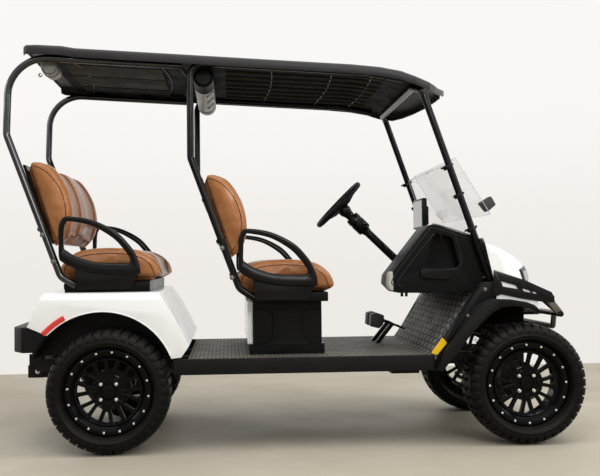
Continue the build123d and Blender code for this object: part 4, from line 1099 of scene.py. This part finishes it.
def make_arch_lips():
    lip = pipe("arch_lip", [(x, -0.5738, z) for x, z in arch_line(0.3465, 23, 134.5, 60)], 0.0035, sides=2)
    settle_pair(lip, "right_arch_lip", WHITE_BODY, smooth=60)


PANE_GRIP = ((1802, 1172), (1857, 1206), (1882, 1163), (1838, 1127))
# name, outline ahead of x and above the ground, x, across, edge, segments, corner, smooth, finish, slot
PLATES = (
    ("display_face", ((-1.2, 1074), (2, 1074), (2, 1216), (-1.2, 1216)), FX - 0.398, (-70, 155), 0.5, 1, 0,
     None, SCREEN_GLASS, "screen"),
    ("yellow_tag", ((1590, 520), (1611, 493), (1562, 436), (1532, 446)), RX, (-566, -558.5), 1, 2, 8, None,
     YELLOW_TAG, "black_plastic"),
    ("side_reflector", ((1740, 502), (1752, 518), (1768, 510), (1756, 494)), RX, (-566, -558.5), 1, 2, 4,
     None, WHITE_REFLECTOR, "white"),
    ("dash_corner_cap", ((-661, 772), (-657, 826), (-646, 840), (-636, 838), (-634, 746), (-648, 746)), FX,
     (-497.5, -432), 4, 3, 6, 45, CAP_GREY, "black_plastic"),
    ("dash_ledge", ((-505, 848), (-318, 848), (-352, 806), (-372, 796), (-500, 808)), FX, (-512, -494), 5,
     3, 10, 45, FLARE_PLASTIC, "black_plastic"),
    ("dash_slot", ((-402, 1022), (-393, 1022), (-386, 986), (-395, 986)), FX, (-498.5, -494), 1, 2, 4, None,
     RIM_GLOSS, "gloss_black"),
    ("right_pane_grip", PANE_GRIP, RX, (-500, -445), 3, 3, 7, 40, RUBBER_GREY, "black_plastic"),
    # the left grip takes the near-white pane edge finish: painted highlight
    ("left_pane_grip", PANE_GRIP, RX, (445, 500), 3, 3, 7, 40, PANE_EDGE_HIGHLIGHT, "black_plastic"))
PAIRED_PLATES = (       # the same for plates on the right that have twins on the left
    ("seat_box_right_face", (
        (54, 441), (54, 482), (60, 489), (130, 489), (158, 498), (170, 520), (171, 630), (160, 650),
        (140, 657), (76, 660), (73, 699), (411, 699), (408, 660), (345, 657), (325, 650), (314, 630),
        (315, 520), (327, 498), (355, 489), (418, 489), (424, 482), (424, 441)), SEAT_PLACES["front"][0],
     (-413.5, -400.5), 4, 3, 0, 40, BLACK_PLASTIC, "black_plastic"),
    ("front_tray_right_skirt", ((66, 700), (434, 700), (434, 743.5), (66, 743.5)), SEAT_PLACES["front"][0],
     (-511, -503), 3, 3, 8, 40, BLACK_PLASTIC, "black_plastic"),
    ("rear_tray_right_skirt", ((17, 803), (17, 768), (66, 758.5), (345, 758.5), (417, 772), (417, 803)),
     SEAT_PLACES["rear"][0], (-512, -503), 3, 3, 12, 40, BLACK_PLASTIC, "black_plastic"),
    ("right_guard_arm", ((2112, 690), (2134, 702), (2156, 694), (2206, 630), (2200, 612), (2184, 608)), RX,
     (-520, -509), 2.5, 2, 6, 45, BRONZE_STEEL, "black_steel"),
    ("right_inner_fender", (
        (-168, 560), (-172, 740), (-132, 800), (-60, 780), (0, 760), (92, 722), (96, 690), (78, 640),
        (74, 560)), FX, (-304, -300), 1, 1, 12, None, LINER_PLASTIC, "black_plastic"))


def make_details():
    """Plates of their own finish, and the bolts on struts, toe strips and hitch."""
    for rows, paired in ((PLATES, False), (PAIRED_PLATES, True)):
        for name, points, x, across, edge, segments, corner, smooth, material, slot in rows:
            plate = moulding(name, points, across, edge, segments, x, corner=corner, smooth=smooth)
            if paired:
                settle_pair(plate, name, material)
            else:
                settle(plate, material)
    bolts("strut_bolts", [(535, 961), (581, 819), (-307, 1030), (-258, 905)], 0.537, 0.0085, 0.006,
          BOLT_GREY)
    bolts("toe_strip_bolts", [(1804, 749), (1718, 621)], 0.5585, 0.007, 0.005, BOLT_GREY)
    bolts("hitch_bolts", [(-412, 405), (-430, 334)], 0.0395, 0.009, 0.007, BRIGHT_STEEL)


# ---- front body ----
HOOD_LINE = (       # ahead of the front axle, height, share of each section's step back
    (-0.199, 1.000, 0.0), (-0.135, 0.991, 0.15), (-0.070, 0.978, 0.3), (0.034, 0.933, 0.65),
    (0.095, 0.893, 0.9), (0.125, 0.860, 1.0), (0.137, 0.824, 1.0), (0.139, 0.788, 1.0), (0.132, 0.742, 1.0))
HOOD_SECTIONS = metres([    # across the vehicle, step back, drop
    (0, 0, 0), (180, 12, 3), (320, 48, 12), (420, 98, 25), (500, 155, 40), (540, 198, 50),
    (558.2, 225, 58)])
HOOD_HALF, COWL_WALL = 0.5582, 0.004
BAND = metres([(-138.5, 815), (-60, 792), (0, 772), (100, 734), (105, 720), (100, 700), (73, 641)])
BAND_STATIONS = (0, 0.2, 0.42, 0.47, 0.52, 0.552, HOOD_HALF)
FENDER_SIDE = (
    (-138, 815), (0, 772), (58, 745), (62, 700), (73, 650), (60, 638), (30, 670), (-12, 686), (-80, 698),
    (-140, 700))


def hood_row(y, proud=0.0):
    """Smooth line over the hood at this y, from the dashboard to the nose's lower edge."""
    step = drop = 0.0
    for low, high in zip(HOOD_SECTIONS, HOOD_SECTIONS[1:]):
        if abs(y) <= high[0] + 1e-6:
            share = (abs(y) - low[0]) / (high[0] - low[0])
            step, drop = (a + (b - a) * share for a, b in zip(low[1:], high[1:]))
            break
    line = curved([(x - share * step, z - drop * ease((z - 0.76) / 0.06) * (1 if share else 0))
                   for x, z, share in HOOD_LINE], 4, closed=False)
    result = []
    for i, (x, z) in enumerate(line):
        ahead, back = Vector(line[min(i + 1, len(line) - 1)]), Vector(line[max(i - 1, 0)])
        along = (ahead - back).normalized()
        result.append((FX + x - along.y * proud, y, z + along.x * proud))
    return result


def both_ways(stations):
    """Stations across the vehicle from left of the middle to right of it."""
    return [-y for y in reversed(stations[1:])] + list(stations)


def make_cowl():
    """Hood, fender band and their sides, in one piece."""
    stations = [HOOD_HALF * (1 - (1 - i / 14) ** 1.6) for i in range(15)]
    hood = panel("hood", [hood_row(y) for y in both_ways(stations)], COWL_WALL)
    rows = []
    for y in both_ways(BAND_STATIONS):
        cut = 0.045 * ease((abs(y) - 0.40) / 0.158)
        rows.append([(FX + min(x, 0.105 - cut), y, z - cut * 0.3 * ease(x / 0.1)) for x, z in BAND])
    band = panel("fender_band", rows, COWL_WALL)
    side = side_plate("fender_side", side_view(FENDER_SIDE, FX), -HOOD_HALF, -0.5532)
    cheek = side_plate("hood_side", [(x, z) for x, _, z in hood_row(HOOD_HALF)] + [(FX - 0.138, 0.742)],
                       -0.5576, -0.5542)
    twins = [copied(piece, piece.name, MIRROR_Y) for piece in (side, cheek)]
    settle_joined("front_cowl_moulding", [hood, band, side, cheek, *twins], 45, WHITE_BODY,
                  ["front_cowl"])


HEADLIGHT_PARTS = (     # name, y from and to, points of the hood's line from and to, proud by, finish, node
    ("right_headlight_bezel", 0.275, 0.438, 19, 30, 0.005, RIM_GLOSS, []),
    ("right_headlight_lens", 0.294, 0.420, 21, 28, 0.008, LAMP_LENS, ["headlights"]))


def make_headlights():
    for name, low, high, first, last, proud, material, stands_for in HEADLIGHT_PARTS:
        rows = [hood_row(-low - (high - low) * i / 12, proud)[first:last] for i in range(13)]
        lamp = panel(name, rows, 0.006)
        face_outwards(lamp)
        bevel(lamp, 0.0015, 2, 50)
        settle_pair(lamp, name, material, stands_for, 45)


def make_toe_trim():
    """Seam covers with ridges beside the toe boards."""
    cover = moulding("flare_seam_cover", [
        (-336, 560), (-247, 665), (-188, 697), (-150, 707), (-148, 688), (-180, 674), (-236, 640),
        (-322, 542)], (-561.2, -558.3), 1, 1, FX)
    ridges = [pipe("toe_ridge", [(x, -0.5585, z) for x, z in side_view(line, RX)], 0.0032, sides=2)
              for line in ([(1574, 452), (1742, 728)], [(1624, 470), (1700, 580), (1768, 668)])]
    settle_pair(join("toe_trim", [cover, *ridges]), "right_toe_trim", FLARE_PLASTIC,
                smooth=45)


# ---- tail and side lamps ----

def make_rear_lights():
    low, high = Vector((-0.366, 0.613)), Vector((-0.306, 0.744))
    up = (high - low).normalized()
    out = Vector((-up.y, up.x))
    sunk = 0.004
    for name, inset, proud, material, stands_for in (
            ("tail_lamp_bezel", 0.0, 0.0035, BLACK_PLASTIC, []),
            ("tail_lamp_lens", 0.008, 0.0055, RED_LENS, ["rear_lights"])):
        (y_low, y_high), (bottom, top) = (0.395 + inset, 0.545 - inset), (0.020 + inset, 0.118 - inset)
        outline = rounded([(y_low, bottom), (y_high, bottom), (y_high, top), (y_low, top)], 0.016)
        base = []
        for y, along in outline:
            place = low + up * along - out * sunk
            base.append((RX + place.x, -y, place.y))
        step = out * (proud + sunk)
        lamp = prism(name, base, (step.x, 0, step.y))
        bevel(lamp, 0.0015, 2)
        settle_pair(lamp, "right_" + name, material, stands_for, 40)
    outline = arch_line(0.350, 118, 138, 16) + arch_line(0.374, 118, 138, 16)[::-1]
    mark = side_plate("arch_reflector", rounded(outline, 0.003, 2), -0.5795, -0.5735)
    bevel(mark, 0.0015, 2)
    settle_pair(mark, "right_arch_reflector", RED_LENS, smooth=40)


# ---- dashboard and controls ----
DASH_FACE = -0.4962     # right face of the dashboard, across the vehicle
DASH_LINES = (          # piece, bar radius, finish, lines ahead of the front axle and above the ground
    ("dash_border", 0.0030, BRIM_PLASTIC, (
        [(-628, 770), (-632, 812), (-462, 1030), (-436, 1050), (-262, 998), (-222, 984)],
        [(-598, 765), (-602, 808), (-446, 1004), (-432, 1012)])),
    ("dash_pocket_rim", 0.0034, BRIM_PLASTIC, (
        [(-352, 1040), (-326, 1012), (-296, 905), (-303, 866), (-340, 848), (-470, 846)],)),
    ("dash_top_trim", 0.0034, SPEAKER_GREY, ([(-440, 1066), (-418, 1068), (-300, 1032), (-226, 1006)],)))
HUB = Vector((FX - 0.804, 0.292, 1.214))
COLUMN = Matrix.Translation(HUB) @ Matrix.Rotation(math.radians(-46), 4, "Y")
SPOKE_SIDE = metres([(26, -36), (60, -34), (110, -20), (152, -6), (156, 4), (148, 6), (105, -6), (60, -18),
                     (26, -16)])


def make_dash_trim():
    for name, radius, material, lines in DASH_LINES:
        bars = [pipe(name, [(x, DASH_FACE, z) for x, z in curved(side_view(line, FX), 6, closed=False)],
                     radius, sides=2) for line in lines]
        settle_joined(name, bars, 60, material)
    pegs = [round_bar("dash_peg", 16, 0.007, 0.022, (FX + x, -0.47, 0.727), (0, 0, 0), 0.0015)
            for x in (-0.588, -0.566)]
    settle_joined("dash_pegs", pegs, None, BLACK_PLASTIC)


def make_steering():
    """Steering wheel with three spokes, and the column with its clamp collar."""
    parts = [begin("wheel_ring", bpy.ops.mesh.primitive_torus_add, major_radius=0.1575, minor_radius=0.0156,
                   major_segments=96, minor_segments=20)]
    for angle in (90, 210, 330):
        arm = side_plate("wheel_spoke", SPOKE_SIDE, -0.015, 0.015)
        for vertex in arm.data.vertices:
            vertex.co.y *= 1.25 - 4.0 * vertex.co.x
        bevel(arm, 0.004, 3)
        arm.data.transform(Matrix.Rotation(math.radians(angle), 4, "Z"))
        parts.append(arm)
    hub = spun("wheel_hub", [(-30.5, 1), (-30.5, 30), (-26, 40), (-12, 46), (0, 43), (6, 34), (6.5, 26),
                             (4.5, 24.5), (7.5, 23), (9.5, 1)], 48)
    hub.data.transform(Matrix.Rotation(QUARTER, 4, "X"))
    wheel = join("steering_wheel_assembly", [*parts, hub])
    wheel.data.transform(COLUMN)
    shade(wheel, 45)
    settle(wheel, GRIP_RUBBER, ["steering_wheel"], "steering_wheel")
    column = spun("column_with_collar", [
        (31.3, 1), (31.3, 33), (36, 36), (56, 36), (78, 27), (100, 24.5), (102, 36), (108, 40), (136, 41),
        (138, 38.5), (144, 38.5), (146, 41), (204, 41), (211, 37), (214, 27), (226, 26.5), (228, 22.5),
        (575, 22.5), (575, 1)], 48)
    column.data.transform(COLUMN @ Matrix.Rotation(-QUARTER, 4, "X"))
    shade(column, 35)
    settle(column, BLACK_STEEL, ["steering_column"])


def make_pedals():
    """Two pedal arms with thick ribbed pads and their link rods."""
    arms, pads = [], []
    for y, width in ((110, 70), (250, 90)):
        arms.append(moulding("pedal_arm", [(-634, 439.5), (-606, 439.5), (-524, 540), (-542, 552)],
                             (y - 9, y + 9), 2, 2, FX, corner=5))
        for name, radius, line in (("pedal_neck", 0.0075, [(-534, 543), (-560, 556), (-600, 560)]),
                                   ("pedal_link", 0.006, [(-540, 540), (-508, 534), (-466, 514)])):
            arms.append(pipe(name, [(x, y / 1000, z) for x, z in side_view(line, FX)], radius))
        low, high = y - width / 2, y + width / 2
        pads.append(moulding("pedal_pad", [(-660, 532), (-655, 600), (-622, 606), (-584, 592), (-590, 542),
                                           (-612, 520)], (low, high), 4, 3, FX, corner=7))
        for z in spaced(0.540, 0.0125, 5):
            x = FX - 0.6595 + 0.074 * (z - 0.532)
            pads.append(pipe("pedal_rib", [(x, (low + 6) / 1000, z), (x, (high - 6) / 1000, z)], 0.003,
                             sides=2))
    settle_joined("pedal_arms", arms, 40, BLACK_STEEL, ["pedals"])
    settle_joined("pedal_pads", pads, 40, RUBBER_GREY)


# ---- windshield fittings ----
PANE_HALF = 0.5027
PANES = (((-246, 1034), (-356, 1367)), ((-148, 1115), (-320, 1394)))     # lower and upper edge of each
CATCHES = ((1.345, 0.030), (1.205, 0.022), (1.040, 0.030))      # height, lever length
STRUT_LEAN = math.radians(-20.5)


def make_windshield_fittings():
    """Pane edges, slim hinges and strut catches."""
    edges = []
    for pane in PANES:
        (x_low, z_low), (x_high, z_high) = side_view(pane, FX)
        corners = [(x_low, -PANE_HALF, z_low), (x_low, PANE_HALF, z_low),
                   (x_high, PANE_HALF, z_high), (x_high, -PANE_HALF, z_high)]
        edges.append(pipe("pane_edge", corners, 0.0024, True, 2))
    for y in (-0.46, 0.0, 0.46):
        x, z = FX - 0.352, 1.366
        edges.append(pipe("pane_hinge", [(x, y - 0.028, z), (x, y + 0.028, z)], 0.0045))
        edges.append(pipe("pane_hinge", [(x, y, z), (FX - 0.322, y, 1.388)], 0.003))
    # pane edges and hinges in near-white: painted highlight along the glass
    settle_joined("pane_edges", edges, 60, PANE_EDGE_HIGHLIGHT)
    parts = []
    for side in (-1, 1):
        y = side * 0.520
        for z, lever in CATCHES:
            x = FX - 0.1427 - (z - 0.746) * 0.3730
            parts.append(round_bar("strut_clamp", 24, 0.0195, 0.022, (x, y, z), (0, STRUT_LEAN, 0), 0.003))
            parts.append(pipe("clamp_lever", [(x - lever, y, z - 0.006), (x - 0.01, y, z),
                                              (x + 0.022, y, z + 0.006),
                                              (x + 0.030, y - side * 0.012, z + 0.018)], 0.0055))
    settle_joined("windshield_catches", parts, 40, BLACK_PLASTIC, ["windshield_clips"])


# ---- overhead speakers ----

def hang_speaker(name, parts, x, z, smooth, material, stands_for=()):
    """Joins parts made about the Y axis and hangs them at this place."""
    for part in parts:
        part.data.transform(Matrix.Translation((RX + x, 0, z)))
    settle_joined(name, parts, smooth, material, stands_for)


def bracket(foot, top, low, high):
    """Flared foot between a speaker and the liner."""
    return moulding("bracket", [(-18, foot), (18, foot), (20, top), (-20, top)], (low, high), 2, corner=4)


def make_speakers():
    """Long speaker across the vehicle with a black end, slots and rings, and the short rear one."""
    x, z = 0.450, roof_station(0.450)[0] - LINER_BELOW - 0.062
    cap = spun("speaker_cap", [
        (-450, 1), (-450, 36), (-447, 40), (-450, 43), (-448, 49), (-440, 52), (-285, 52), (-282, 54),
        (-272, 54), (-270, 48), (-270, 1)], 64)
    body = spun("speaker_body", [
        (-270, 1), (-270, 50.5), (-262, 51.5), (300, 51.5), (303, 49.5), (312, 49.5), (315, 51.5),
        (425, 51.5), (442, 45), (450, 30), (450, 1)], 64)
    slots = []
    facing = Vector((0.55, 0, -0.83)).normalized()
    for y in (-0.20, -0.02, 0.16):
        slot = moulding("speaker_slot", [(-9, -32), (9, -32), (9, 32), (-9, 32)], (-2, 2), 0.8, 1, corner=9)
        slot.data.transform(Matrix.Translation(Vector((0, y, 0)) + facing * 0.0515) @ turned(facing))
        slots.append(slot)
    hang_speaker("speaker_cap", [cap], x, z, 35, BLACK_PLASTIC)
    brackets = [bracket(30, 68, y, y + 28) for y in (-184, 256)]
    hang_speaker("overhead_speaker", [body, *brackets], x, z, 35, SPEAKER_GREY,
                 ["overhead_speakers"])
    hang_speaker("speaker_slots", slots, x, z, None, RIM_GLOSS)
    x, z = -0.283, roof_station(-0.283)[0] - LINER_BELOW - 0.067
    body = spun("rear_speaker_body", [
        (-478, 1), (-478, 30), (-475.5, 33), (-478, 36), (-474, 40), (-430, 40), (-428, 43), (-408, 43),
        (-406, 40), (-352, 40), (-342, 32), (-340, 1)], 48)
    knob = spun("rear_speaker_knob", [
        (-462, 1), (-460, 8), (-452, 11), (-444, 8), (-442, 3), (-430, 3), (-430, 1)], 24)
    hang_speaker("rear_speaker", [body, bracket(24, 72, -425, -395)], x, z, 35, SPEAKER_GREY)
    hang_speaker("rear_speaker_knob", [knob], x - 0.047, z - 0.036, 50, BRIGHT_STEEL)


# ---- finishes of the CAD nodes ----
NODE_FINISH = {
    BLACK_STEEL: "front_struts middle_struts rear_struts brush_guard pedals",
    FRAME_STEEL: "chassis_frame hitch_receiver battery_pack",
    AXLE_STEEL: "front_axle rear_axle leaf_springs tie_rod steering_knuckle_left steering_knuckle_right",
    WHITE_BODY: "rear_body front_cowl seat_box_back",
    BLACK_PLASTIC: "rear_wheel_liners dashboard front_seat_box rear_seat_base front_seat_back_shell "
                   "rear_seat_back_shell front_armrests rear_armrests windshield_clips steering_column "
                   "steering_wheel touch_screen rear_bumper",
    FLARE_PLASTIC: "fender_flares", ROCKER_PLASTIC: "rocker_panels", ROOF_SATIN: "roof",
    LINER_PLASTIC: "roof_liner", FLOOR_MAT: "floor_pan", CLEAR_PANE: "windshield", RED_LENS: "rear_lights",
    LEATHER: "front_seat_cushion front_seat_back rear_seat_cushion rear_seat_back", LAMP_LENS: "headlights",
    SPEAKER_GREY: "overhead_speakers",
}


def dress_nodes():
    for material, names in NODE_FINISH.items():
        for name in names.split():
            for slot in NODES[name].material_slots:
                slot.material = material
            shade(NODES[name], 35)


aim_camera()
lay_floor()
light_world()
hang_lamps()
dress_nodes()
make_wheels()
make_seats()
make_armrests()
make_canopy()
make_liner()
make_body()
make_arch_lips()
make_details()
make_cowl()
make_headlights()
make_toe_trim()
make_rear_lights()
make_dash_trim()
make_steering()
make_pedals()
make_windshield_fittings()
make_speakers()

bpy.context.scene.view_settings.view_transform = "Standard"
